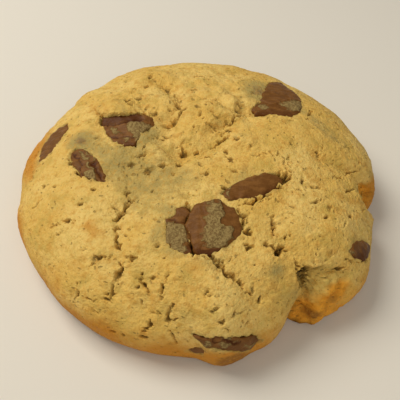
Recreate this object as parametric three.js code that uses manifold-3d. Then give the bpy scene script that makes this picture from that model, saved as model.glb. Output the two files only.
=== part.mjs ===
import * as THREE from 'three';
import { mergeVertices } from 'three/addons/utils/BufferGeometryUtils.js';
import Module from 'manifold-3d';

const wasm = await Module();
wasm.setup();

// A thick drop cookie with pieces of milk chocolate baked into it, in millimetres. It lies on
// z = 0 with its domed crust up and its middle over the origin. The lower right edge, towards
// +X and -Y, has torn open and slumped in a lobe.

const domeHeight = 25; // middle of the crust above the underside
const rimHeight = 7; // where the side bulges out furthest
const footShare = 0.94; // the flat underside against the widest outline
const domePower = 3; // a higher power gives a flatter top and a tighter shoulder
const crustReach = 60; // from the middle of the crust to the rim, measured along the crust
const wallReach = 0.25; // from the rim down to the underside, as a share of crustReach
const lumpHeight = 0.45; // unevenness of the crust: its height, and the lengths of its waves
const wideLump = 5.5;
const lumpLean = 4;
const fineLump = { share: 0.6, across: 3.4, along: 3.9, skew: 7 };
const bodyDetail = 13; // splits of each icosahedron edge
const socketGap = 0.35; // clearance round a piece of chocolate
const socketRise = 4; // a socket is cut clear through the crust above it
const crackLift = 1.2; // a crack's cutter starts this far above the crust
const crackStep = 2.6; // length of one straight stretch of a crack
const crackJitter = 0.3; // how far a crack strays from its line
const crackEnd = 0.35; // a crack's width and depth at its ends, against its middle
const tearLift = 2.5; // a tear's cutter ends this far above the crust
const poreCount = 38;
const poreSeed = 11;
const poreSize = [0.6, 1]; // smallest and largest, scaled along, across and into the crust
const poreShape = [1.4, 0.8, 1.1];
const poreReach = 66; // past the rim, down the side
const poreClearance = 10; // from the middle of any piece of chocolate
const frameStep = 0.5; // half the stretch of crust that a direction is taken over

// A piece of chocolate from its underside up: the share of its outline, then the share of its
// thickness below its top or, for the bevel, the height about its top.
const slabSides = [[0.62, 1], [0.95, 0.7], [1, 0.3]];
const slabBevel = [[0.95, -0.15], [0.84, 0.15]];

// Distance from the middle to the rim, every 20 degrees from +X towards +Y.
const rimRadii = [
  49.8, 50.2, 50.2, 51, 53, 53.5, 53.8, 50.6, 49.5,
  49.8, 49.6, 49.8, 51.3, 51.5, 51.8, 50.9, 52, 48.4,
];

// Where the rim swells out or has split: the angle, the spread before and after it in degrees,
// and how far out it goes.
const rimForms = [
  { at: 276, before: 8, after: 10, out: 2.2 },
  { at: 298, before: 12, after: 5, out: -5, split: true },
  { at: 350.5, before: 8, after: 4.5, out: -3.2, split: true },
  { at: 139, before: 7, after: 6, out: 1.6 },
];

// Places on the crust are [x, y] in millimetres along the crust from its middle, so the rim
// is crustReach away in every direction.

// Gentle hills and hollows in the dome.
const swells = [
  { at: [-11, -9], spread: 12, rise: -1.4 },
  { at: [-17, 11], spread: 8, rise: 1.5 },
  { at: [2, 8], spread: 8, rise: 0.8 },
  { at: [14, 1], spread: 14, rise: 0.9 },
  { at: [0, -37], spread: 11, rise: 0.7 },
  { at: [-25, -26], spread: 13, rise: 0.7 },
];

// Cracks in the crust, each through its points.
const cracks = [
  { path: [[-13.3, -15.2], [-12.8, -17], [-15.4, -21.4], [-16.5, -22.2]], width: 1.3, depth: 2.2 },
  { path: [[-15.5, -23.3], [-15.1, -27.9], [-14.7, -29.4]], width: 1.3, depth: 2.4 },
  { path: [[-16.6, -30.1], [-20, -31.7], [-22.4, -33.2]], width: 0.9, depth: 1.2 },
  { path: [[-13.5, -30.4], [-11.5, -30.9]], width: 1.2, depth: 1.4 },
  { path: [[-15.1, -32.4], [-15.2, -34.1], [-16.3, -38.1]], width: 1.6, depth: 2.2 },
  { path: [[-17.7, -37.7], [-18.5, -41.8]], width: 0.9, depth: 1.2 },
  { path: [[-10.8, -34.2], [-11.3, -36.2], [-9.8, -39.2]], width: 1.4, depth: 2.2 },
  { path: [[-11.6, -41.5], [-11.4, -43.7]], width: 1.2, depth: 1.2 },
  { path: [[-7.1, -36.4], [-7.4, -41.2]], width: 0.9, depth: 1.4 },
  { path: [[-5.4, -41.9], [-6.3, -49.3]], width: 0.8, depth: 1 },
  { path: [[-6.2, -50.7], [-5.1, -56.3]], width: 1.4, depth: 1.6 },
  { path: [[-10.2, -47.2], [-10.1, -48.9], [-13.1, -51.9]], width: 1, depth: 1.4 },
  { path: [[-34, -23.8], [-30.4, -23.2], [-25.3, -22.3]], width: 1, depth: 1.2 },
  { path: [[-26.4, -37.9], [-27, -40.8], [-30.2, -44.2]], width: 1, depth: 1.2 },
  { path: [[2.2, -30], [4.4, -31.5], [5.6, -33.6], [6.7, -35.3]], width: 2, depth: 3.4 },
  { path: [[7.4, -35.3], [9.1, -38.2]], width: 1.2, depth: 2 },
  { path: [[14.2, -20.6], [13.7, -22.4], [15.3, -26.2]], width: 0.9, depth: 1.4 },
  { path: [[-4.6, 14.9], [-4, 9.5], [-3, 7.7], [-5.7, 5.3]], width: 1.6, depth: 2 },
  { path: [[11, 8.7], [9.7, 8.4], [7.1, 5.2], [5.6, 3.8]], width: 2, depth: 2.6 },
  { path: [[6.1, 0.3], [2.3, -2.6]], width: 1.3, depth: 1.8 },
  { path: [[22.4, -12.8], [24.7, -13.5]], width: 1.4, depth: 1.2 },
  { path: [[30.2, -9.4], [33.5, -9.3]], width: 1.1, depth: 1.2 },
  { path: [[35.6, -7.9], [40.6, -5.2]], width: 1.3, depth: 1.6 },
  { path: [[33.8, -13.7], [39.2, -12.7]], width: 1.2, depth: 2 },
  { path: [[23.9, 7.4], [26.2, 11.2], [27.7, 13.3]], width: 1.4, depth: 1.6 },
  { path: [[-23.7, 10.4], [-21.9, 6.5], [-20.3, 4]], width: 1.4, depth: 1.8 },
  { path: [[28.4, -34.6], [29.8, -33.4], [33, -33]], width: 1.2, depth: 2 },
];

// Single deep pits: place, half length, half width, depth and turn in degrees.
const pits = [
  { at: [22.7, -36], long: 3.2, wide: 2.2, deep: 6.2, turn: 70 },
  { at: [17, -32], long: 2.4, wide: 1.4, deep: 3, turn: 60 },
  { at: [19.2, -10.6], long: 2, wide: 1.4, deep: 2.4, turn: 30 },
  { at: [9, -25], long: 1, wide: 0.7, deep: 1.2, turn: 0 },
  { at: [27.2, -1.7], long: 1.1, wide: 0.7, deep: 1.6, turn: 80 },
  { at: [26.8, -3.8], long: 1.2, wide: 0.7, deep: 1.2, turn: -50 },
  { at: [18.3, -7.4], long: 1, wide: 0.8, deep: 1.4, turn: 20 },
  { at: [-7.2, 17.4], long: 1.3, wide: 0.8, deep: 1.2, turn: -60 },
  { at: [0.1, 23.2], long: 1.1, wide: 0.8, deep: 1.2, turn: 0 },
  { at: [0.7, 11.7], long: 1.3, wide: 0.7, deep: 1, turn: -50 },
  { at: [-23.6, -42.8], long: 1.5, wide: 0.9, deep: 1.2, turn: -20 },
  { at: [40.3, -5.6], long: 1.2, wide: 0.8, deep: 1.4, turn: 20 },
  { at: [13.8, -28.2], long: 1.6, wide: 0.9, deep: 0.9, turn: -50 },
];

// Where the edge tore open: [x, y, depth] round each tear, and the depth in its middle.
const tears = [
  {
    rim: [
      [21.3, -34.5, 4.5], [22.8, -32.9, 3], [26.4, -32.4, 2], [29.9, -33.2, 1.6], [33, -33.8, 1.2],
      [36, -38.5, 0.8], [40, -44.6, 0.6], [43, -50, 0.6], [41, -55, 1], [36, -59, 2], [32.5, -59, 3.5],
      [28.9, -53, 4], [27, -47.7, 3.8], [24.3, -41.2, 3.6], [22.3, -39, 4.2], [21.5, -36.5, 5],
    ],
    middle: 2.6,
  },
  {
    rim: [
      [35.8, -12.3, 0.8], [39.2, -12.9, 2.2], [43.5, -16.2, 3], [50, -17.5, 3.4], [59, -17, 3],
      [60.5, -11, 1.4], [59, -7, 0.6], [52, -6.4, 0.6], [45, -7.2, 0.8], [40, -9.6, 0.8],
    ],
    middle: 2.4,
  },
];

// Pieces of chocolate: place on the crust, thickness, how deep the top is sunk below the crust,
// and the outline, [along, up] from the place: along the rim and up towards the middle.
const pieces = {
  centre_chunk_left: {
    at: [-3.6, -24.8], thick: 6, sunk: -0.3,
    outline: [
      [-3.2, 2.4], [-1.7, 3.9], [-0.4, 5.7], [0.8, 6], [0.8, 4.2], [0.2, 2.5], [1.4, 1.1],
      [1.8, -0.7], [2.7, -4], [2.6, -5.3], [0.9, -4.9], [-0.8, -4.2], [-2.5, -1.4],
    ],
  },
  centre_chunk_right: {
    at: [2.5, -22.8], thick: 7, sunk: -0.5,
    outline: [
      [-4.2, 5.1], [-2.9, 6.3], [-0.7, 6.8], [2.2, 7.3], [3.1, 5.9], [5, 4.4], [5.8, 1.8],
      [6, -1.1], [4, -3.5], [1.6, -4.8], [-0.8, -6], [-3, -5.9], [-4, -5], [-4.6, -2.6],
      [-4.9, 0.6], [-5.6, 1.9],
    ],
  },
  oval_chip: {
    at: [9.8, -14], thick: 5, sunk: 0.5,
    outline: [
      [-6.9, 1.8], [-4.9, 2.4], [-1.7, 2.6], [1.7, 2.5], [5, 2.1], [7, 0.4], [7.6, -1.4],
      [5.4, -2.8], [1.6, -2.9], [-1.2, -2.8], [-4.2, -1.4], [-6.4, -0.8],
    ],
  },
  back_chunk: {
    at: [19, 15.6], thick: 6, sunk: 0.2,
    outline: [
      [-1.7, 10.5], [0, 6.8], [4.3, 1.5], [8.2, -4], [7, -7], [3.6, -7.4], [-0.1, -6.9],
      [-3.8, -5.1], [-7.6, 0.5], [-8.3, 3.6], [-7, 5.4], [-4.9, 6.8], [-3.9, 9.5],
    ],
  },
  left_chunk: {
    at: [-15.8, 3.2], thick: 6, sunk: 0.3,
    outline: [
      [-3.7, -7.5], [-4.2, -4.8], [-4.5, -1.2], [-5.4, 2.1], [-5.2, 4.3], [-3.6, 7],
      [-1.6, 6.4], [0.6, 4.2], [2.6, 3.6], [5.6, 4.2], [6, 1.6], [4.9, -1.9], [0.9, -5.1],
    ],
  },
  left_chip: {
    at: [-23.4, -7.2], thick: 5, sunk: 0.3,
    outline: [
      [-5.8, -3.2], [-6.9, -2.4], [-6.4, -0.8], [-3.7, 0.8], [-0.6, 2.2], [2.4, 3], [7.2, 3.3],
      [6.2, 1.8], [3.7, -0.3], [2.3, -2], [-0.6, -3.1],
    ],
  },
  far_left_chip: {
    at: [-36.2, 3.2], thick: 4.5, sunk: 1.4,
    outline: [
      [-6.8, 3.2], [-4.7, 0], [-1.3, -2.2], [3.2, -2.4], [6.6, -1.4], [4.6, 0], [1.9, 1.2],
      [-0.6, 2.6], [-2.2, 4], [-4, 4.6],
    ],
  },
  right_chip: {
    at: [36.9, -28.3], thick: 4.5, sunk: 0,
    outline: [
      [-3.8, 3.2], [-2.1, 2.9], [0.7, 1.6], [3.1, -0.3], [4.7, -3.1], [2.3, -3.5], [-1, -2],
      [-3.5, 1.1],
    ],
  },
  front_chunk: {
    at: [6.9, -52.5], thick: 5, sunk: 0.8,
    outline: [
      [-6.9, 2.4], [-5.2, 2.9], [-2.6, 2.7], [-0.5, 1.9], [2.1, 1], [4.5, 0.5], [7, -1],
      [6.2, -3.1], [3.6, -3], [0.1, -2], [-2.9, -0.9], [-5.4, 0.8],
    ],
  },
  front_chip: {
    at: [-0.9, -60.8], thick: 2.5, sunk: 0.2,
    outline: [[-1.8, -0.4], [-0.2, 0.8], [1.2, 1.6], [2.1, 1.1], [0.9, -1], [-0.7, -1.3]],
  },
};

const doughColour = 0xd6b066;
const chocolateColour = 0x6f462e;

const degrees = (angle) => (angle * Math.PI) / 180;

// Draws the same numbers from 0 to 1 each time.
function seededDraw(seed) {
  let state = seed;
  return () => {
    state = (state * 1664525 + 1013904223) % 2 ** 32;
    return state / 2 ** 32;
  };
}

// The rim's radius: a smooth curve through rimRadii, with the rim's own swellings and splits.
function rimRadius(angle) {
  const turn = ((((angle / (2 * Math.PI)) % 1) + 1) % 1) * 360;
  const step = 360 / rimRadii.length;
  const first = Math.floor(turn / step);
  const t = turn / step - first;
  const [a, b, c, d] = [-1, 0, 1, 2].map((k) => rimRadii.at((first + k) % rimRadii.length));
  let radius = b + 0.5 * t * (c - a + t * (2 * a - 5 * b + 4 * c - d + t * (3 * (b - c) + d - a)));
  for (const form of rimForms) {
    const away = ((turn - form.at + 540) % 360) - 180;
    const share = Math.min(1, away < 0 ? -away / form.before : away / form.after);
    radius += form.out * (form.split ? (1 - share) ** 1.5 : 0.5 + 0.5 * Math.cos(Math.PI * share));
  }
  return radius;
}

// A point of the cookie's surface: its angle, and its reach from 0 in the middle of the crust
// over 1 at the rim to 2 in the middle of the underside.
function surfacePoint(angle, reach) {
  const sideTurn = (Math.min(Math.max(reach - 1, 0) / wallReach, 1) * Math.PI) / 2;
  let share = footShare + (1 - footShare) * Math.cos(sideTurn);
  let z = rimHeight * (1 - Math.sin(sideTurn));
  if (reach <= 1) {
    share = Math.sin((reach * Math.PI) / 2);
    z = rimHeight + (domeHeight - rimHeight) * Math.sqrt(1 - share ** domePower);
  } else if (reach > 1 + wallReach) {
    share = (footShare * (2 - reach)) / (1 - wallReach);
  }
  const radius = share * rimRadius(angle);
  const [x, y] = [radius * Math.cos(angle), radius * Math.sin(angle)];
  const { share: fineShare, across, along, skew } = fineLump;
  const lump = Math.sin(x / wideLump + 1) * Math.sin(y / wideLump + z / lumpLean)
    + fineShare * Math.sin(y / across - x / skew) * Math.sin(x / along + 2);
  const rise = (lumpHeight * lump * Math.min(z, rimHeight)) / rimHeight;
  for (const swell of swells) {
    const away = Math.hypot(
      reach * crustReach * Math.cos(angle) - swell.at[0],
      reach * crustReach * Math.sin(angle) - swell.at[1],
    );
    if (reach < 1) z += swell.rise * Math.exp(-((away / swell.spread) ** 2) * 2) * (1 - share ** 4);
  }
  const steepness = Math.min(1, reach) ** 2;
  const outward = 1 + (rise * steepness) / Math.max(radius, 1);
  return new THREE.Vector3(x * outward, y * outward, z + rise * (1 - steepness));
}

const onCrust = ([x, y]) => surfacePoint(Math.atan2(y, x), Math.hypot(x, y) / crustReach);

// A place on the crust with its directions: along the rim, up towards the middle, and out.
function crustFrame([x, y]) {
  const origin = onCrust([x, y]);
  const alongX = onCrust([x + frameStep, y]).sub(onCrust([x - frameStep, y]));
  const alongY = onCrust([x, y + frameStep]).sub(onCrust([x, y - frameStep]));
  const out = alongX.cross(alongY).normalize();
  const along = new THREE.Vector3(0, 0, 1).cross(out).normalize();
  const up = out.clone().cross(along);
  return { origin, along, up, out };
}

// A closed mesh as a solid, with its faces turned outwards.
function solidOf(geometry) {
  const bare = new THREE.BufferGeometry();
  bare.setAttribute('position', geometry.getAttribute('position'));
  bare.setIndex(geometry.index);
  const merged = mergeVertices(bare, 1e-4);
  const vertProperties = new Float32Array(merged.getAttribute('position').array);
  const triVerts = new Uint32Array(merged.index.array);
  const made = new wasm.Manifold(new wasm.Mesh({ numProp: 3, vertProperties, triVerts }));
  if (made.volume() > 0) return made;
  triVerts.reverse();
  return new wasm.Manifold(new wasm.Mesh({ numProp: 3, vertProperties, triVerts }));
}

// The solid's largest body as a geometry, without loose scraps.
function geometryOf(solid) {
  const [body] = solid.decompose().sort((a, b) => b.volume() - a.volume());
  const { vertProperties, triVerts } = body.getMesh();
  const geometry = new THREE.BufferGeometry();
  geometry.setAttribute('position', new THREE.BufferAttribute(vertProperties, 3));
  geometry.setIndex(new THREE.BufferAttribute(triVerts, 1));
  geometry.computeVertexNormals();
  return geometry;
}

// A closed skin over rings of points, with its first and last rings shut by flat fans.
function ringsGeometry(rings) {
  const count = rings[0].length;
  const points = rings.flat();
  const faces = [];
  for (let ring = 0; ring < rings.length - 1; ring += 1) {
    for (let k = 0; k < count; k += 1) {
      const [a, b] = [ring * count + k, ring * count + ((k + 1) % count)];
      faces.push(a, b, b + count, a, b + count, a + count);
    }
  }
  const ends = [rings[0], rings.at(-1)];
  ends.forEach((ring, end) => {
    const start = end * (rings.length - 1) * count;
    const middle = ring.reduce((sum, p) => sum.add(p), new THREE.Vector3()).divideScalar(count);
    points.push(middle);
    for (let k = 0; k < count; k += 1) {
      const [a, b] = [start + k, start + ((k + 1) % count)];
      faces.push(...(end ? [a, b, points.length - 1] : [b, a, points.length - 1]));
    }
  });
  const geometry = new THREE.BufferGeometry().setFromPoints(points);
  geometry.setIndex(faces);
  return geometry;
}

// The whole cookie before anything is cut from it: a finely split icosahedron drawn out to
// the crust, the side and the flat underside.
function wholeBody() {
  const geometry = new THREE.IcosahedronGeometry(1, bodyDetail);
  const position = geometry.getAttribute('position');
  const point = new THREE.Vector3();
  for (let k = 0; k < position.count; k += 1) {
    point.fromBufferAttribute(position, k).normalize();
    const reach = Math.acos(THREE.MathUtils.clamp(point.z, -1, 1)) / (Math.PI / 2);
    const angle = Math.atan2(point.y, point.x);
    point.copy(surfacePoint(Math.abs(point.x) + Math.abs(point.y) < 1e-6 ? 0 : angle, reach));
    position.setXYZ(k, point.x, point.y, point.z);
  }
  return solidOf(geometry);
}

// A ragged wedge that follows the crust and runs out at both ends.
function crackSolid({ path, width, depth }, draw) {
  const curve = new THREE.CatmullRomCurve3(path.map(([x, y]) => new THREE.Vector3(x, y, 0)));
  const steps = Math.max(3, Math.round(curve.getLength() / crackStep) + 1);
  const rings = curve.getSpacedPoints(steps).map((place, k) => {
    const heading = curve.getTangentAt(k / steps);
    const shift = (draw() - 0.5) * 2 * crackJitter;
    const { origin, out } = crustFrame([place.x - heading.y * shift, place.y + heading.x * shift]);
    const side = out.clone().cross(heading).normalize();
    const openness = crackEnd + (1 - crackEnd) * Math.sin((Math.PI * k) / steps);
    const halfTop = (((width / 2) * (depth + crackLift)) / depth) * openness;
    const top = origin.clone().addScaledVector(out, crackLift);
    return [
      top.clone().addScaledVector(side, halfTop),
      top.clone().addScaledVector(side, -halfTop),
      origin.clone().addScaledVector(out, -depth * openness),
    ];
  });
  return solidOf(ringsGeometry(rings));
}

function placedOnCrust(geometry, at, turn = 0) {
  const { origin, along, up, out } = crustFrame(at);
  const basis = new THREE.Matrix4().makeBasis(along, up, out).setPosition(origin);
  return solidOf(geometry.rotateZ(degrees(turn)).applyMatrix4(basis));
}

function pitSolid({ at, long, wide, deep, turn }) {
  return placedOnCrust(new THREE.IcosahedronGeometry(1, 1).scale(long, wide, deep), at, turn);
}

// Small pores all over the crust and the side, clear of the chocolate.
function poreSolids(draw) {
  const pores = [];
  while (pores.length < poreCount) {
    const angle = draw() * 2 * Math.PI;
    const reach = poreReach * Math.sqrt(draw());
    const at = [reach * Math.cos(angle), reach * Math.sin(angle)];
    const size = THREE.MathUtils.lerp(...poreSize, draw());
    const turn = draw() * 180;
    const clear = Object.values(pieces).every(
      (piece) => Math.hypot(at[0] - piece.at[0], at[1] - piece.at[1]) > poreClearance,
    );
    if (!clear) continue;
    const shape = new THREE.IcosahedronGeometry(size, 0).scale(...poreShape);
    pores.push(placedOnCrust(shape, at, turn));
  }
  return pores;
}

// A tear follows the crust: its floor lies under the crust, and its walls stand square to it.
function tearSolid({ rim, middle }) {
  const centre = [0, 1].map((axis) => rim.reduce((sum, point) => sum + point[axis], 0) / rim.length);
  const ring = (share, height) => rim.map(([x, y, depth]) => {
    const { origin, out } = crustFrame([
      centre[0] + (x - centre[0]) * share,
      centre[1] + (y - centre[1]) * share,
    ]);
    return origin.addScaledVector(out, height(THREE.MathUtils.lerp(middle, depth, share)));
  });
  const floor = [0.4, 0.8, 1].map((share) => ring(share, (depth) => -depth));
  return solidOf(ringsGeometry([...floor, ring(1, () => tearLift)]));
}

// An outline scaled about its place, then widened by the same distance all round.
function widened(outline, share, distance) {
  const points = outline.map(([x, y]) => new THREE.Vector2(x * share, y * share));
  const count = points.length;
  return points.map((point, k) => {
    const before = point.clone().sub(points[(k + count - 1) % count]).normalize();
    const after = points[(k + 1) % count].clone().sub(point).normalize();
    const heading = before.add(after).normalize();
    const stretch = distance / Math.max(0.6, Math.abs(heading.dot(after)));
    return new THREE.Vector2(point.x + heading.y * stretch, point.y - heading.x * stretch);
  });
}

// A piece of chocolate round its own place: a slab with a bevelled, slightly domed top, and an
// underside that draws in. Grown, it is the socket that the dough leaves for it.
function pieceGeometry({ thick, sunk, outline }, grown = 0) {
  const area = THREE.ShapeUtils.area(outline.map(([x, y]) => ({ x, y })));
  const turned = area < 0 ? outline.toReversed() : outline;
  const sides = slabSides.map(([share, depth]) => [share, -thick * depth]);
  sides[0][1] -= grown;
  const levels = [...sides, ...(grown ? [[1, socketRise]] : slabBevel)];
  return ringsGeometry(levels.map(([share, height]) => (
    widened(turned, share, grown).map(({ x, y }) => new THREE.Vector3(x, y, height - sunk))
  )));
}

function addPiece(group, name, geometry, colour, roughness) {
  const material = new THREE.MeshStandardMaterial({ color: colour, roughness, metalness: 0 });
  const mesh = new THREE.Mesh(geometry, material);
  mesh.name = name;
  group.add(mesh);
  return mesh;
}

const draw = seededDraw(poreSeed);
const cutters = [
  ...tears.map(tearSolid),
  ...cracks.map((crack) => crackSolid(crack, draw)),
  ...pits.map(pitSolid),
  ...poreSolids(draw),
  ...Object.values(pieces).map((piece) => placedOnCrust(pieceGeometry(piece, socketGap), piece.at)),
];
const dough = cutters.reduce((body, cutter) => body.subtract(cutter), wholeBody());

const group = new THREE.Group();
addPiece(group, 'dough', geometryOf(dough), doughColour, 0.85);
for (const [name, piece] of Object.entries(pieces)) {
  const mesh = addPiece(group, name, pieceGeometry(piece), chocolateColour, 0.45);
  const { origin, along, up, out } = crustFrame(piece.at);
  mesh.position.copy(origin);
  mesh.quaternion.setFromRotationMatrix(new THREE.Matrix4().makeBasis(along, up, out));
}

export default group;
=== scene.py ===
import bpy
import numpy as np
from mathutils import Matrix, Vector


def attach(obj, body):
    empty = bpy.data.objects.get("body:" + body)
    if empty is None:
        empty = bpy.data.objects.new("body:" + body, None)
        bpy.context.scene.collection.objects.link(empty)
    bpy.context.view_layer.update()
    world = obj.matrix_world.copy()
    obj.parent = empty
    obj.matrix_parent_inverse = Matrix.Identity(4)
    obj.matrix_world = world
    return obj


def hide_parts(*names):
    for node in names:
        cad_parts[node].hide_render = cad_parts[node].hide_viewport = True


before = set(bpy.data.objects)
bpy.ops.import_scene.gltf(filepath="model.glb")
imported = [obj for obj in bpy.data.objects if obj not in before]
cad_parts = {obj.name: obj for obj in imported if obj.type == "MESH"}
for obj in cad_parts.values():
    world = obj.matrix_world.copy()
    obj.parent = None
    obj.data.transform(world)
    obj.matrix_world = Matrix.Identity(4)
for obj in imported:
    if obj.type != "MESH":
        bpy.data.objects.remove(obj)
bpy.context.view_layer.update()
metresPerMillimetre = 0.001
print("frame loaded:", len(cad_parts), "nodes")

# The cookie's form in millimetres, the same as its solids have. It lies on z = 0. A place on the
# crust is [x, y] along the crust from its middle, so the rim is crustReach away all round, and
# twice crustReach is the middle of the underside.
cookieForm = {
    "domeHeight": 25,
    "rimHeight": 7,
    "footShare": 0.94,
    "domePower": 3,
    "crustReach": 60,
    "wallReach": 0.25,
    "lumpHeight": 0.45,
    "wideLump": 5.5,
    "lumpLean": 4,
    "fineLump": {"share": 0.6, "across": 3.4, "along": 3.9, "skew": 7},
    "rimRadii": [
        49.8, 50.2, 50.2, 51, 53, 53.5, 53.8, 50.6, 49.5,
        49.8, 49.6, 49.8, 51.3, 51.5, 51.8, 50.9, 52, 48.4,
    ],
    # angle, degrees before and after it, how far out, and whether it is a sharp split
    "rimForms": [
        (276, 8, 10, 2.2, False),
        (298, 12, 5, -5, True),
        (350.5, 8, 4.5, -3.2, True),
        (139, 7, 6, 1.6, False),
    ],
    # place, spread and rise of the gentle hills and hollows
    "swells": [
        ([-11, -9], 12, -1.4),
        ([-17, 11], 8, 1.5),
        ([2, 8], 8, 0.8),
        ([14, 1], 14, 0.9),
        ([0, -37], 11, 0.7),
        ([-25, -26], 13, 0.7),
    ],
}


# The notch beside the torn lobe leans after the torn edge, and fades away up the crust.
tornNotch = {
    "at": 298,
    "reaches": [0, 0.7, 0.76, 0.8, 0.91, 1],
    "turns": [302, 302, 300.6, 301, 299.8, 298],
    "shares": [0, 0, 0.15, 0.45, 0.9, 1],
}


def rimRadius(turn, reach):
    radii = np.array(cookieForm["rimRadii"], float)
    step = 360 / len(radii)
    first = np.floor(turn / step).astype(int)
    t = turn / step - first
    a, b, c, d = (radii[(first + k) % len(radii)] for k in (-1, 0, 1, 2))
    radius = b + 0.5 * t * (c - a + t * (2 * a - 5 * b + 4 * c - d + t * (3 * (b - c) + d - a)))
    for at, before, after, out, split in cookieForm["rimForms"]:
        if at == tornNotch["at"]:
            at = np.interp(reach, tornNotch["reaches"], tornNotch["turns"])
            out = out * np.interp(reach, tornNotch["reaches"], tornNotch["shares"])
        away = (turn - at + 540) % 360 - 180
        share = np.clip(np.where(away < 0, -away / before, away / after), 0, 1)
        radius += out * ((1 - share) ** 1.5 if split else 0.5 + 0.5 * np.cos(np.pi * share))
    return radius


def crustPoint(place):
    form = cookieForm
    x, y = place[:, 0], place[:, 1]
    reach = np.hypot(x, y) / form["crustReach"]
    angle = np.arctan2(y, x)
    side = np.clip((reach - 1) / form["wallReach"], 0, 1) * np.pi / 2
    share = form["footShare"] + (1 - form["footShare"]) * np.cos(side)
    z = form["rimHeight"] * (1 - np.sin(side))
    onTop = reach <= 1
    topShare = np.sin(np.minimum(reach, 1) * np.pi / 2)
    dome = np.sqrt(np.maximum(1 - topShare ** form["domePower"], 0))
    topHeight = form["rimHeight"] + (form["domeHeight"] - form["rimHeight"]) * dome
    under = reach > 1 + form["wallReach"]
    underShare = form["footShare"] * (2 - reach) / (1 - form["wallReach"])
    share = np.where(onTop, topShare, np.where(under, underShare, share))
    z = np.where(onTop, topHeight, z)
    radius = share * rimRadius(np.degrees(angle) % 360, reach)
    px, py = radius * np.cos(angle), radius * np.sin(angle)
    fine = form["fineLump"]
    lump = np.sin(px / form["wideLump"] + 1) * np.sin(py / form["wideLump"] + z / form["lumpLean"])
    lump += fine["share"] * np.sin(py / fine["across"] - px / fine["skew"]) * np.sin(px / fine["along"] + 2)
    rise = form["lumpHeight"] * lump * np.minimum(z, form["rimHeight"]) / form["rimHeight"]
    for at, spread, swell in form["swells"]:
        away = np.hypot(x - at[0], y - at[1])
        z = z + np.where(onTop, swell * np.exp(-2 * (away / spread) ** 2) * (1 - share**4), 0)
    steepness = np.minimum(1, reach) ** 2
    outward = 1 + rise * steepness / np.maximum(radius, 1)
    return np.stack([px * outward, py * outward, z + rise * (1 - steepness)], axis=1)


# The crust's point at each place, and the way straight out of the crust there.
def crustWithNormals(place, step=0.5):
    eastWest = crustPoint(place + [step, 0]) - crustPoint(place - [step, 0])
    northSouth = crustPoint(place + [0, step]) - crustPoint(place - [0, step])
    out = np.cross(eastWest, northSouth)
    return crustPoint(place), out / np.linalg.norm(out, axis=1)[:, None]


# Where a piece of chocolate lies, and its directions: along the rim, up to the middle, and out.
def pieceFrame(piece):
    out = np.array(piece["facing"]) / np.linalg.norm(piece["facing"])
    along = np.cross([0, 0, 1], out)
    along /= np.linalg.norm(along)
    return crustPoint(np.array([piece["at"]], float))[0], along, np.cross(out, along), out


# Smooth noise in space, from about -1 to 1, with lumps of the given size in millimetres.
def lumps(points, size, seed):
    slopes = np.random.default_rng(seed).normal(size=(24, 24, 24, 3))
    scaled = points / size
    cell = np.floor(scaled).astype(int)
    part = scaled - cell
    soft = part * part * part * (part * (part * 6 - 15) + 10)
    total = np.zeros(len(points))
    for corner in np.ndindex(2, 2, 2):
        slope = slopes[tuple(((cell + corner) % 24).T)]
        weight = np.prod(np.where(corner, soft, 1 - soft), axis=1)
        total += weight * np.einsum("ij,ij->i", slope, part - corner)
    return total


# The kinds of lumps in the dough and the chocolate: size in millimetres and seed.
lumpKinds = {
    "coarse": (2.2, 4),
    "middling": (0.95, 3),
    "fine": (0.48, 5),
    "beads": (1.5, 7),
    "billows": (6.8, 11),
    "creases": (3.1, 12),
    "flakes": (4.4, 14),
    "wobbleAcross": (1.7, 21),
    "wobbleAlong": (1.7, 22),
    "tornFloor": (3.4, 23),
    "base": (3.0, 31),
    "browning": (9, 41),
    "chocolateFine": (0.9, 51),
    "chocolateCoarse": (2.4, 52),
    "edgeAcross": (1.5, 53),
    "edgeAlong": (1.5, 54),
}


def kindOfLumps(points, kind):
    return lumps(points, *lumpKinds[kind])


def smoothStep(low, high, value):
    t = np.clip((value - low) / (high - low), 0, 1)
    return t * t * (3 - 2 * t)


# How far each place is from a line of points, and how far along the line, from 0 to 1.
def awayFromLine(place, line):
    line = np.array(line, float)
    lengths = np.linalg.norm(np.diff(line, axis=0), axis=1)
    walked = np.concatenate([[0], np.cumsum(lengths)])
    best = np.full(len(place), 1e9)
    along = np.zeros(len(place))
    for k, length in enumerate(lengths):
        step = line[k + 1] - line[k]
        t = np.clip((place - line[k]) @ step / length**2, 0, 1)
        away = np.linalg.norm(place - line[k] - t[:, None] * step, axis=1)
        nearer = away < best
        best = np.where(nearer, away, best)
        along = np.where(nearer, (walked[k] + t * length) / walked[-1], along)
    return best, along


# How far each place is outside an outline; less than 0 is inside it.
def outsideOf(place, outline):
    outline = np.array(outline, float)
    away, _ = awayFromLine(place, np.vstack([outline, outline[:1]]))
    inside = np.zeros(len(place), bool)
    for (ax, ay), (bx, by) in zip(outline, np.roll(outline, -1, axis=0)):
        if ay == by:
            continue
        crossing = (ay > place[:, 1]) != (by > place[:, 1])
        inside ^= crossing & (place[:, 0] < (bx - ax) * (place[:, 1] - ay) / (by - ay) + ax)
    return np.where(inside, -away, away)


def readPoints(piece):
    points = np.zeros(len(piece.data.vertices) * 3, np.float32)
    piece.data.vertices.foreach_get("co", points)
    return points.reshape(-1, 3).astype(float)


def writePoints(piece, points):
    piece.data.vertices.foreach_set("co", points.astype(np.float32).ravel())
    piece.data.update()


def paint(piece, name, amounts):
    layer = piece.data.attributes.new(name, "FLOAT", "POINT")
    layer.data.foreach_set("value", np.clip(amounts, 0, 3).astype(np.float32))


def applyModifiers(piece):
    bpy.context.view_layer.objects.active = piece
    for modifier in list(piece.modifiers):
        bpy.ops.object.modifier_apply(modifier=modifier.name)


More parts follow.
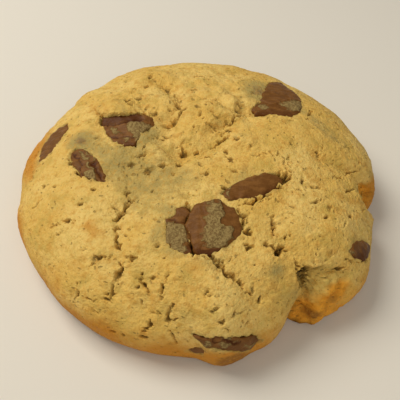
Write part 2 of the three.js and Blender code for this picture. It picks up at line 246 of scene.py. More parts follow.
# Gives the finished piece its size in metres and its material, hangs it on the cookie's root, and hides the
# CAD nodes it replaces.
def handOver(piece, material, slot, *nodes):
    piece.data.transform(Matrix.Scale(metresPerMillimetre, 4))
    piece.data.materials.clear()
    piece.data.materials.append(material)
    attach(piece, "root")
    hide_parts(*nodes)


# Material helpers. A colour is written as red, green and blue as seen on the screen, 0 to 255.
def colourOf(red, green, blue):
    shares = np.array([red, green, blue]) / 255
    linear = np.where(shares <= 0.04045, shares / 12.92, ((shares + 0.055) / 1.055) ** 2.4)
    return (*linear, 1)


class Recipe:
    def __init__(self, name):
        self.material = bpy.data.materials.new(name)
        self.material.use_nodes = True
        self.nodes = self.material.node_tree.nodes
        self.links = self.material.node_tree.links
        self.shader = self.nodes["Principled BSDF"]

    def add(self, kind, settings=None, **inputs):
        node = self.nodes.new(kind)
        for key, value in (settings or {}).items():
            setattr(node, key, value)
        for key, value in inputs.items():
            self.feed(node.inputs[key.replace("_", " ")], value)
        return node

    def feed(self, socket, value):
        if isinstance(value, bpy.types.NodeSocket):
            self.links.new(value, socket)
        else:
            socket.default_value = value

    def calculate(self, operation, *values):
        node = self.nodes.new("ShaderNodeMath")
        node.operation = operation
        for socket, value in zip(node.inputs, values):
            self.feed(socket, value)
        return node.outputs[0]

    def ramp(self, value, low, high):
        node = self.nodes.new("ShaderNodeMapRange")
        node.interpolation_type = "SMOOTHSTEP"
        self.feed(node.inputs["Value"], value)
        self.feed(node.inputs["From Min"], low)
        self.feed(node.inputs["From Max"], high)
        return node.outputs["Result"]

    def mix(self, share, first, second):
        node = self.nodes.new("ShaderNodeMix")
        node.data_type = "RGBA"
        self.feed(node.inputs[0], share)
        self.feed(node.inputs[6], first)
        self.feed(node.inputs[7], second)
        return node.outputs[2]

    def attribute(self, name, output="Fac"):
        return self.add("ShaderNodeAttribute", {"attribute_name": name}).outputs[output]

    def noise(self, size, detail=2.0, roughness=0.55, vector=None, stretch=None):
        where = vector or self.add("ShaderNodeTexCoord").outputs["Object"]
        if stretch:
            where = self.add("ShaderNodeMapping", Vector=where, Scale=stretch).outputs[0]
        node = self.add("ShaderNodeTexNoise", Vector=where, Scale=1 / (size * metresPerMillimetre))
        node.inputs["Detail"].default_value = detail
        node.inputs["Roughness"].default_value = roughness
        return node.outputs["Fac"]

    # Small dents as short strokes, one in some of the cells, each turned its own way.
    def strokes(self, cell, longest, narrow, seed):
        wander = self.add("ShaderNodeTexNoise", Vector=self.attribute("crust", "Vector"), Scale=0.9)
        bent = self.add("ShaderNodeVectorMath", {"operation": "MULTIPLY_ADD"})
        self.feed(bent.inputs[0], wander.outputs["Color"])
        bent.inputs[1].default_value = (0.5, 0.5, 0)
        self.feed(bent.inputs[2], self.attribute("crust", "Vector"))
        shifted = self.add("ShaderNodeVectorMath", {"operation": "ADD"})
        self.feed(shifted.inputs[0], bent.outputs[0])
        shifted.inputs[1].default_value = (seed * 17.3, seed * 9.1, 0)
        cells = self.add("ShaderNodeTexVoronoi", {"voronoi_dimensions": "2D"}, Scale=1 / cell)
        self.feed(cells.inputs["Vector"], shifted.outputs[0])
        away = self.add("ShaderNodeVectorMath", {"operation": "SUBTRACT"})
        self.feed(away.inputs[0], shifted.outputs[0])
        self.feed(away.inputs[1], cells.outputs["Position"])
        chance = self.add("ShaderNodeSeparateColor", Color=cells.outputs["Color"])
        turn = self.calculate("MULTIPLY", self.calculate("SUBTRACT", chance.outputs[0], 0.5), 3.4)
        turned = self.add("ShaderNodeVectorRotate", {"rotation_type": "Z_AXIS"}, Angle=turn)
        self.feed(turned.inputs["Vector"], away.outputs[0])
        stretched = self.add("ShaderNodeVectorMath", {"operation": "MULTIPLY"})
        self.feed(stretched.inputs[0], turned.outputs[0])
        stretched.inputs[1].default_value = (1, narrow, 0)
        length = self.add("ShaderNodeVectorMath", {"operation": "LENGTH"})
        self.feed(length.inputs[0], stretched.outputs[0])
        size = self.calculate("MULTIPLY", chance.outputs[1], longest)
        share = self.calculate("DIVIDE", length.outputs["Value"], self.calculate("ADD", size, 0.05))
        chosen = self.ramp(chance.outputs[2], 0.6, 0.7)
        return self.calculate("MULTIPLY", self.ramp(share, 1.0, 0.6), chosen)

    def finish(self, colour, roughness, height, depth):
        bump = self.add("ShaderNodeBump", Height=height, Distance=depth * metresPerMillimetre)
        bump.inputs["Strength"].default_value = 1.0
        self.feed(self.shader.inputs["Base Color"], colour)
        self.feed(self.shader.inputs["Roughness"], roughness)
        self.feed(self.shader.inputs["Normal"], bump.outputs[0])
        return self.material


# Cracks in the crust: width, depth and the points that each goes through.
cracks = [
    (1.3, 2.2, [[-13.3, -15.2], [-12.8, -16.8], [-14.2, -19.7], [-15.4, -21.4], [-16.3, -21.9]]),
    (1.3, 2.4, [[-15.5, -23.3], [-15.6, -24.6], [-15.2, -26], [-15.1, -27.9], [-14.7, -29.2]]),
    (0.8, 1.2, [[-16.6, -30.1], [-18, -31], [-20, -31.7], [-22.4, -33.2]]),
    (1.3, 1.4, [[-13.5, -30.4], [-12.8, -31.1], [-11.5, -30.9]]),
    (1.6, 2.2, [[-15.1, -32.4], [-15.2, -34.1], [-16.3, -35.5]]),
    (1.3, 1.8, [[-16.3, -36.1], [-16, -37.1], [-16.4, -38.1]]),
    (0.8, 1.2, [[-17.7, -37.7], [-17.6, -39.3], [-18.5, -41.8]]),
    (1.0, 1.4, [[-10.6, -34.2], [-11, -35.2], [-10.8, -35.9]]),
    (1.4, 2.2, [[-11.3, -36.2], [-10.8, -37.4], [-10.1, -38.4], [-9.8, -39.2]]),
    (1.2, 1.2, [[-11.6, -41.5], [-11.4, -43.7]]),
    (0.8, 1.4, [[-7.1, -36.4], [-6.9, -38.6], [-7.4, -41.2]]),
    (0.7, 1.0, [[-5.4, -41.9], [-5.7, -44.3], [-6.2, -45.4], [-6.3, -49.3]]),
    (0.8, 0.8, [[-4.2, -46.4], [-5.1, -47.5]]),
    (1.2, 1.6, [[-6.2, -50.7], [-5.6, -52.2], [-5.1, -56.3]]),
    (0.9, 1.4, [[-10.2, -47.2], [-10.1, -48.9], [-11.4, -50.6], [-13.1, -51.9]]),
    (0.8, 1.2, [[-34, -23.8], [-30.4, -23.2], [-28.3, -22.9], [-25.3, -22.3]]),
    (0.7, 0.8, [[-41, -16.8], [-38.9, -16.1], [-37.5, -15.8]]),
    (0.9, 1.2, [[-26.4, -37.9], [-27, -40.8], [-30.2, -44.2]]),
    (0.9, 1.2, [[-26.1, -40.9], [-24.4, -42.2], [-23.2, -43.3], [-21.9, -42.3]]),
    (1.8, 3.0, [[1.5, -28.9], [3.1, -30], [4.4, -31.5], [5.6, -33.6], [6.7, -35.3]]),
    (1.1, 2.0, [[7.4, -35.3], [7.8, -36.3], [9.1, -38.2]]),
    (0.8, 1.2, [[9.1, -38.8], [10.1, -39.8]]),
    (1.4, 2.8, [[15.8, -28.2], [15.7, -29.6], [14.8, -30.9]]),
    (0.8, 1.2, [[16.9, -28], [16.5, -26.3], [16.8, -25.3]]),
    (0.9, 1.4, [[14.2, -20.6], [13.7, -22.4], [14.6, -25.4], [15.3, -26.2]]),
    (1.0, 1.0, [[12.3, -26.6], [13.6, -28.2], [15, -29.4]]),
    (1.0, 1.0, [[-7.8, 18.6], [-6.5, 16.3]]),
    (1.5, 1.9, [[-4.6, 14.9], [-4.2, 11.6], [-4, 9.5], [-3, 7.7], [-4.5, 6], [-5.7, 5.3]]),
    (1.9, 2.4, [[11, 8.7], [9.7, 8.4], [8.2, 6.7], [7.1, 5.2], [5.6, 3.8]]),
    (1.2, 1.6, [[6.1, 0.3], [5.1, -0.9], [3.7, -1.6], [2.3, -2.6]]),
    (0.8, 1.0, [[-3.4, -1.6], [-3.2, -3.4], [-2.9, -3.9]]),
    (0.8, 0.8, [[-1.3, -3.3], [-0.4, -3.3], [0.1, -4.1]]),
    (0.8, 0.9, [[-3.3, -6.3], [-3.8, -7.4]]),
    (0.9, 0.9, [[-8.9, 1], [-8, 0.3], [-6.9, 0]]),
    (0.8, 0.8, [[-11.1, -3.6], [-10.3, -2.7]]),
    (0.8, 0.8, [[-12.3, -5.3], [-11, -4.8]]),
    (1.2, 1.2, [[22.4, -12.8], [23.4, -13.3], [24.7, -13.5]]),
    (0.8, 0.9, [[17.8, -14], [19.2, -13.8], [20.8, -13.6]]),
    (1.0, 1.1, [[30.2, -9.4], [31.6, -10], [33.5, -9.3]]),
    (1.2, 1.5, [[35.6, -7.9], [39.7, -6.1], [40.6, -5.2]]),
    (0.8, 0.9, [[21.7, -17.3], [22.5, -16.9], [23.3, -17.1], [24.6, -16.5]]),
    (0.8, 0.8, [[25.5, -18.7], [26.6, -18.4]]),
    (0.8, 0.8, [[27.5, -18.8], [28.3, -19.7], [29.8, -20.1]]),
    (1.2, 1.8, [[33.8, -13.7], [35.7, -12.6], [37.4, -12.3], [39.2, -12.7]]),
    (0.9, 1.0, [[33.4, 2.3], [34.8, 1.4], [37.2, 1.3]]),
    (0.9, 1.2, [[18.7, -6.1], [18, -7.7], [18.7, -8.7]]),
    (0.8, 1.0, [[17.4, -7.8], [19, -8.1]]),
    (1.0, 1.3, [[27.5, -1], [27.1, -2.4]]),
    (1.0, 1.2, [[25.8, -3.1], [27.9, -4.4]]),
    (0.8, 0.8, [[4.6, -3.3], [5.2, -3.9]]),
    (0.8, 0.8, [[4.9, -4.7], [5.6, -5.2]]),
    (0.8, 0.8, [[5.8, -6.9], [6.4, -7.6]]),
    (1.0, 1.0, [[0.3, 12.5], [1.2, 11]]),
    (0.8, 0.8, [[-1.5, 16.6], [-0.4, 16.5]]),
    (0.8, 0.8, [[19.3, -2], [20.3, -2.5]]),
    (1.2, 1.5, [[23.9, 7.4], [26.2, 11.2], [27.7, 13.3]]),
    (1.2, 1.7, [[-23.7, 10.4], [-21.9, 6.5], [-20.3, 4]]),
    (1.0, 1.2, [[31.9, -30.8], [34.1, -31.2], [37, -30.7], [43.8, -31.4]]),
    (1.1, 1.8, [[28.4, -34.6], [29.4, -34.2], [29.8, -33.1], [31.1, -34.1], [32, -33]]),
    (0.8, 0.9, [[5.8, -46.8], [5.9, -48]]),
    (0.8, 0.9, [[4.5, -44.4], [5.1, -45.8]]),
    (0.8, 0.9, [[7, -42.5], [6.8, -43.8]]),
    (0.7, 0.9, [[1.7, -36.5], [1.8, -37.7], [1.5, -39.6]]),
    (0.8, 0.9, [[12.4, -39.5], [12.4, -40.4], [12.8, -42.4]]),
    (0.8, 0.9, [[22.9, -29.5], [24.1, -30.9]]),
    (1.2, 1.4, [[18.9, -31.6], [19.9, -33.1], [20.7, -33.8]]),
    (0.8, 0.8, [[-8.8, -14.6], [-8.5, -14]]),
    (0.8, 0.9, [[-2.4, -14.8], [-1.5, -15.3], [-0.2, -15.9]]),
    (0.7, 0.7, [[10.5, -5.9], [11.7, -5.8], [13.1, -5.4], [14.5, -5], [15.3, -5.8], [16.9, -5.7]]),
    (1.0, 1.4, [[-1.6, 8.2], [-0.9, 7.6], [0.3, 7.4]]),
    (1.0, 1.4, [[1.9, 3.1], [3.4, 2.1], [4.6, 0.9]]),
    (0.9, 1.2, [[-10.6, 8.9], [-9.3, 8.4], [-8.2, 7.6]]),
    (0.9, 1.0, [[-15.9, 11.3], [-14.7, 11.6]]),
    (0.9, 1.0, [[-13.6, 12.6], [-12, 13.2]]),
]

# Gaps beside the chocolate, where the dough shrank away from it, with painted shade in them: width, depth
# and points.
gaps = [
    (1.1, 2.6, [[7.1, -19.6], [7.7, -21], [8.3, -22.7], [8.2, -23.7]]),
    (1.3, 2.4, [[-0.4, -29.9], [0.9, -29.8], [1.8, -29.9], [2.8, -30.5]]),
    (0.9, 2.2, [[15.5, -12.9], [14.4, -14.6], [12.6, -16.2], [10.4, -17.6], [7.6, -18.2]]),
    (2.4, 4.0, [[-1.8, -17.9], [-1.9, -20.1], [-1.7, -20.7], [-2.4, -22.7], [-1.9, -23.8], [-1.4, -25.6],
                [-1.1, -27.5], [-0.9, -30.4]]),
    (0.9, 2.6, [[11.6, 9.2], [10.4, 8.9], [9.0, 7.8]]),
    (0.9, 2.2, [[-28.3, -4.4], [-26.5, -7.4], [-24.7, -10.2], [-23.5, -11.3]]),
    (0.8, 1.8, [[-22.3, -6.1], [-20.4, -8.7], [-19.1, -11.1], [-18.3, -12.5]]),
    (0.9, 2.2, [[31.9, -31.2], [35.3, -31.6], [40, -31.6], [44.9, -30.9]]),
    (1.1, 2.4, [[-24.6, 12.6], [-23.5, 11.1], [-22.1, 8.2], [-20.9, 5.1], [-20.3, 3.7]]),
    (1.1, 2.8, [[-16.6, 6.3], [-14.8, 6.9], [-13, 7.7], [-11.5, 7.9]]),
]

# Deep pits: place, half length, half width, depth and turn in degrees.
pits = [
    ([23.2, -36.8], 3.4, 1.7, 7.5, 104),
    ([15.3, -29.4], 1.7, 1.0, 3.2, 62),
    ([16.4, -11.2], 2.2, 1.4, 2.4, 35),
    ([4.8, -14], 0.8, 0.6, 1.2, 0),
    ([9, -25], 1, 0.7, 1.2, 0),
    ([9.4, -28.3], 0.9, 0.6, 1.0, 20),
    ([-7.2, 17.4], 1.3, 0.8, 1.2, -60),
    ([0.1, 23.2], 1.0, 0.6, 0.9, 0),
    ([3.1, 23.4], 0.9, 0.5, 0.8, 0),
    ([3.2, 10.8], 1.0, 0.6, 0.9, 30),
    ([3.5, 5.6], 0.9, 0.6, 0.9, -20),
    ([5.9, 2], 0.9, 0.6, 0.8, 40),
    ([-3.3, 12.8], 0.9, 0.6, 0.8, 10),
    ([-15.9, 11.1], 1.0, 0.6, 0.8, 10),
    ([-13, 12.5], 0.9, 0.5, 0.7, -10),
    ([-7, -7.7], 0.9, 0.6, 0.8, 10),
    ([-9.8, -8.8], 0.8, 0.6, 0.7, 40),
    ([-13.3, -7], 0.9, 0.6, 0.8, 0),
    ([-12.8, -54.1], 1.0, 0.8, 1.0, 10),
    ([-21.4, -53.8], 0.9, 0.6, 0.8, 0),
    ([-18.4, -54.4], 0.9, 0.6, 0.8, 20),
    ([-35.8, -11.2], 0.8, 0.5, 0.6, 10),
    ([-31.8, -12.2], 0.8, 0.4, 0.6, 0),
    ([-27.6, -22.6], 0.9, 0.5, 0.8, 0),
    ([-24.1, -18.3], 0.8, 0.5, 0.6, 30),
    ([33.4, -20.2], 0.9, 0.7, 0.8, 0),
    ([-8.5, -35.4], 0.8, 0.5, 0.7, 80),
    ([-21.2, -14.4], 0.9, 0.6, 0.8, 0),
    ([1.3, -9.5], 0.8, 0.5, 0.7, 10),
    ([-6.9, 17.3], 1.15, 0.63, 1.19, -50),
    ([-4, 12.4], 0.72, 0.49, 1.02, 0),
    ([-3.5, 9.1], 0.72, 0.56, 1.36, 60),
    ([-2.9, 7.8], 0.79, 0.56, 1.36, -40),
    ([-5.3, 6.1], 0.72, 0.42, 1.02, 20),
    ([-0.8, 16.5], 0.65, 0.35, 0.68, 0),
    ([2.2, 11.2], 1.08, 0.42, 0.68, -20),
    ([1.5, 8.2], 0.36, 0.49, 0.68, 0),
    ([-15.7, 11], 0.79, 0.42, 0.85, 10),
    ([-13, 13], 0.86, 0.35, 0.77, 10),
    ([-5.5, 8.5], 0.5, 0.35, 0.68, 0),
    ([3.6, 5.4], 0.43, 0.42, 0.85, 0),
    ([0.8, 4.2], 0.36, 0.28, 0.68, 0),
    ([-0.9, 2.1], 0.36, 0.35, 0.68, 0),
    ([-7.8, 0.5], 1.01, 0.35, 0.85, -15),
    ([-2.8, -3.2], 0.86, 0.49, 1.27, -15),
    ([-0.4, -3.4], 0.72, 0.49, 1.1, -10),
    ([1.6, -5], 1.01, 0.35, 0.85, -10),
    ([5.8, 2], 0.58, 0.42, 1.02, 0),
    ([6, 4.3], 0.5, 0.42, 1.02, 0),
    ([5.1, -4.1], 0.58, 0.42, 0.94, -50),
    ([5.9, -6.1], 0.72, 0.42, 1.02, -50),
    ([8, -1.9], 0.72, 0.28, 0.68, 10),
    ([10.6, 5.7], 0.29, 0.63, 0.85, 0),
    ([-3.7, -7], 0.65, 0.49, 1.1, 40),
    ([-7.1, -7.7], 0.5, 0.35, 0.85, 0),
    ([-13.6, -7], 0.65, 0.42, 0.85, 30),
    ([-11.5, -4.9], 0.79, 0.42, 0.85, 0),
    ([-10.3, -2.7], 0.72, 0.35, 0.85, 15),
    ([-11.1, 21.7], 0.72, 0.35, 0.68, 0),
    ([-11.3, 17.9], 0.72, 0.35, 0.59, 30),
]

# Where the edge tore open: [x, y, depth] round each tear, and the depth in its middle.
tears = [
    (2.0, [
        [20.2, -34.4, 5], [22, -32.5, 3.8], [23.6, -33.5, 3.2], [26, -32.1, 2.4], [27.8, -33.6, 2],
        [29.9, -32.6, 1.7], [31.4, -34.2, 1.4],
        [33, -33.8, 1.1], [36, -35.8, 0.7], [40, -39, 0.3], [46, -45, 0], [53, -53, 0],
        [44, -60.7, 0], [35.2, -66.2, 0.6], [31.4, -60, 1.8], [28.9, -53.2, 3], [26.9, -47.6, 3.6],
        [24.3, -41.3, 4.6], [21.8, -39.2, 5.4], [20.2, -36.6, 6],
    ]),
    (2.4, [
        [35.8, -12.3, 0.8], [39.2, -12.9, 2.2], [43.5, -16.2, 3], [50, -17.5, 3.4], [59, -17, 3],
        [60.5, -11, 1.4], [59, -7, 0.6], [52, -6.4, 0.6], [45, -7.2, 0.8], [40, -9.6, 0.8],
    ]),
]

# Small rises and dips on the dome: place, spread and height.
knolls = [
    ([-22, 11.6], 2.8, 0.9),
    ([-19, 10.9], 2.8, 1.1),
    ([-15.6, 10], 2.8, 1.0),
    ([-20.4, 18], 4, 0.5),
    ([-11.4, 13.2], 3.4, 0.5),
    ([-0.5, 11.5], 3.6, 0.5),
    ([1.6, 6.6], 3.6, 0.5),
    ([6.3, 12.5], 3.4, 0.4),
    ([-6.0, 14.6], 4.2, 0.7),
    ([-1.5, 3], 4.5, 0.8),
    ([3.4, 14.5], 4.0, 0.6),
    ([-10.4, 8.6], 3.6, 0.6),
    ([-8.4, -3], 3.4, 0.7),
    ([11, -1], 6, 0.5),
    ([-13.5, -9.5], 4.5, -0.8),
    ([-4.5, -10.5], 4.5, -0.5),
    ([-16, -17.5], 3.5, -0.6),
    ([-11.4, 19.5], 4, 0.4),
    ([0.5, -34], 5, 0.5),
    ([20.5, 2], 5, 0.5),
    ([29, -24], 5, 0.6),
    ([24.5, -26], 4, 0.4),
]

# Shallow valleys between the lobes of the crust: width, depth and points.
valleys = [
    (1.9, 1.3, [[-7.8, 18.6], [-4.6, 14.9], [-4, 9.5], [-5.7, 5.3], [-6.9, 0], [-3.3, -5]]),
    (1.5, 0.7, [[-5.7, 5.3], [-8.2, 7.2], [-10.6, 8.9]]),
    (1.6, 0.7, [[-4, 12.4], [-1, 15.6], [2.5, 17.5], [6.5, 16.5], [9, 13], [10, 9.5]]),
    (2.4, 0.8, [[-10.7, -14.5], [-13.3, -16], [-15.4, -21.4], [-15.2, -27], [-15.5, -34], [-16.5, -39]]),
    (1.9, 1.1, [[13, 8.8], [11, 8.7], [5.6, 3.8], [2.3, -2.6], [0.1, -4.1], [-2.9, -3.9]]),
    (3.0, 0.5, [[-19.8, -9.9], [-15.6, -9.5], [-9.1, -11.1], [-4.3, -12.3]]),
    (2.0, 0.6, [[1.5, -28.9], [5.6, -33.6], [9.1, -38.2], [12.4, -41]]),
    (1.8, 0.4, [[16, -11], [24, -13], [31, -10], [36, -12]]),
    (2.0, 0.5, [[-23.7, 12], [-21.9, 6.5], [-21, 0], [-24, -1]]),
    (1.8, 0.5, [[14, -24], [17, -31], [21, -35]]),
    (1.8, 0.4, [[-11, -34], [-10, -39], [-11.4, -43.7]]),
]

# Ledges, where the crust to the right of the line, seen from its start, stands higher: height,
# how far the rise reaches, and points.
ledges = [
    (0.8, 4, [[11.2, 8.0], [13.5, 7.2], [15.7, 6.7], [18.8, 6.6], [21.6, 6.7], [24.8, 6.6], [26.5, 5.2]]),
    (0.6, 4, [[25.3, 6.2], [27, 4.8], [29.6, 3.5], [33.2, 2.3], [39, 1]]),
    (0.6, 4, [[-7, -30.4], [-4, -31.4], [-1, -31.0], [1.5, -29.5]]),
    (0.5, 3.5, [[1.8, -29.2], [5.6, -33.6], [9.1, -38.2], [12.5, -41.5]]),
    (0.5, 3, [[-6.5, -9.5], [-10.7, -14.5], [-12.8, -17], [-15.4, -22]]),
    (1.3, 4, [[-11.8, 8.0], [-13.4, 7.8], [-16, 7.4], [-18.6, 7.7], [-21, 8.6], [-23.4, 10.6]]),
    (0.5, 3, [[2.3, -2.6], [5.6, 3.8], [8.7, 7.6], [11, 8.7]]),
]

# Edges of the crust that lean out over a hollow: how far and which way, spread, and points.
overhangs = [
    ([0.2, -0.9], 1.2, [[-23, 10.2], [-20.3, 8.7], [-17, 8.1], [-14, 8.4], [-12.4, 8.8]]),
    ([0.1, 0], 1.0, [[21.3, -34.6], [21.4, -36.5], [22.3, -39], [24.3, -41.2], [26.4, -46]]),
    ([0, -0.4], 1.0, [[22.8, -32.4], [24.9, -32.1], [27.4, -31.9]]),
]

# Places where the crust is crumbly: place, spread and strength. The rest is smoother.
crumblyPlaces = [
    ([-8, 10], 15, 0.9),
    ([4, 9], 9, 0.6),
    ([-13, -3], 9, 0.6),
    ([8, -2], 8, 0.2),
    ([-12, -36], 8, 0.3),
    ([18, -28], 7, 0.3),
]
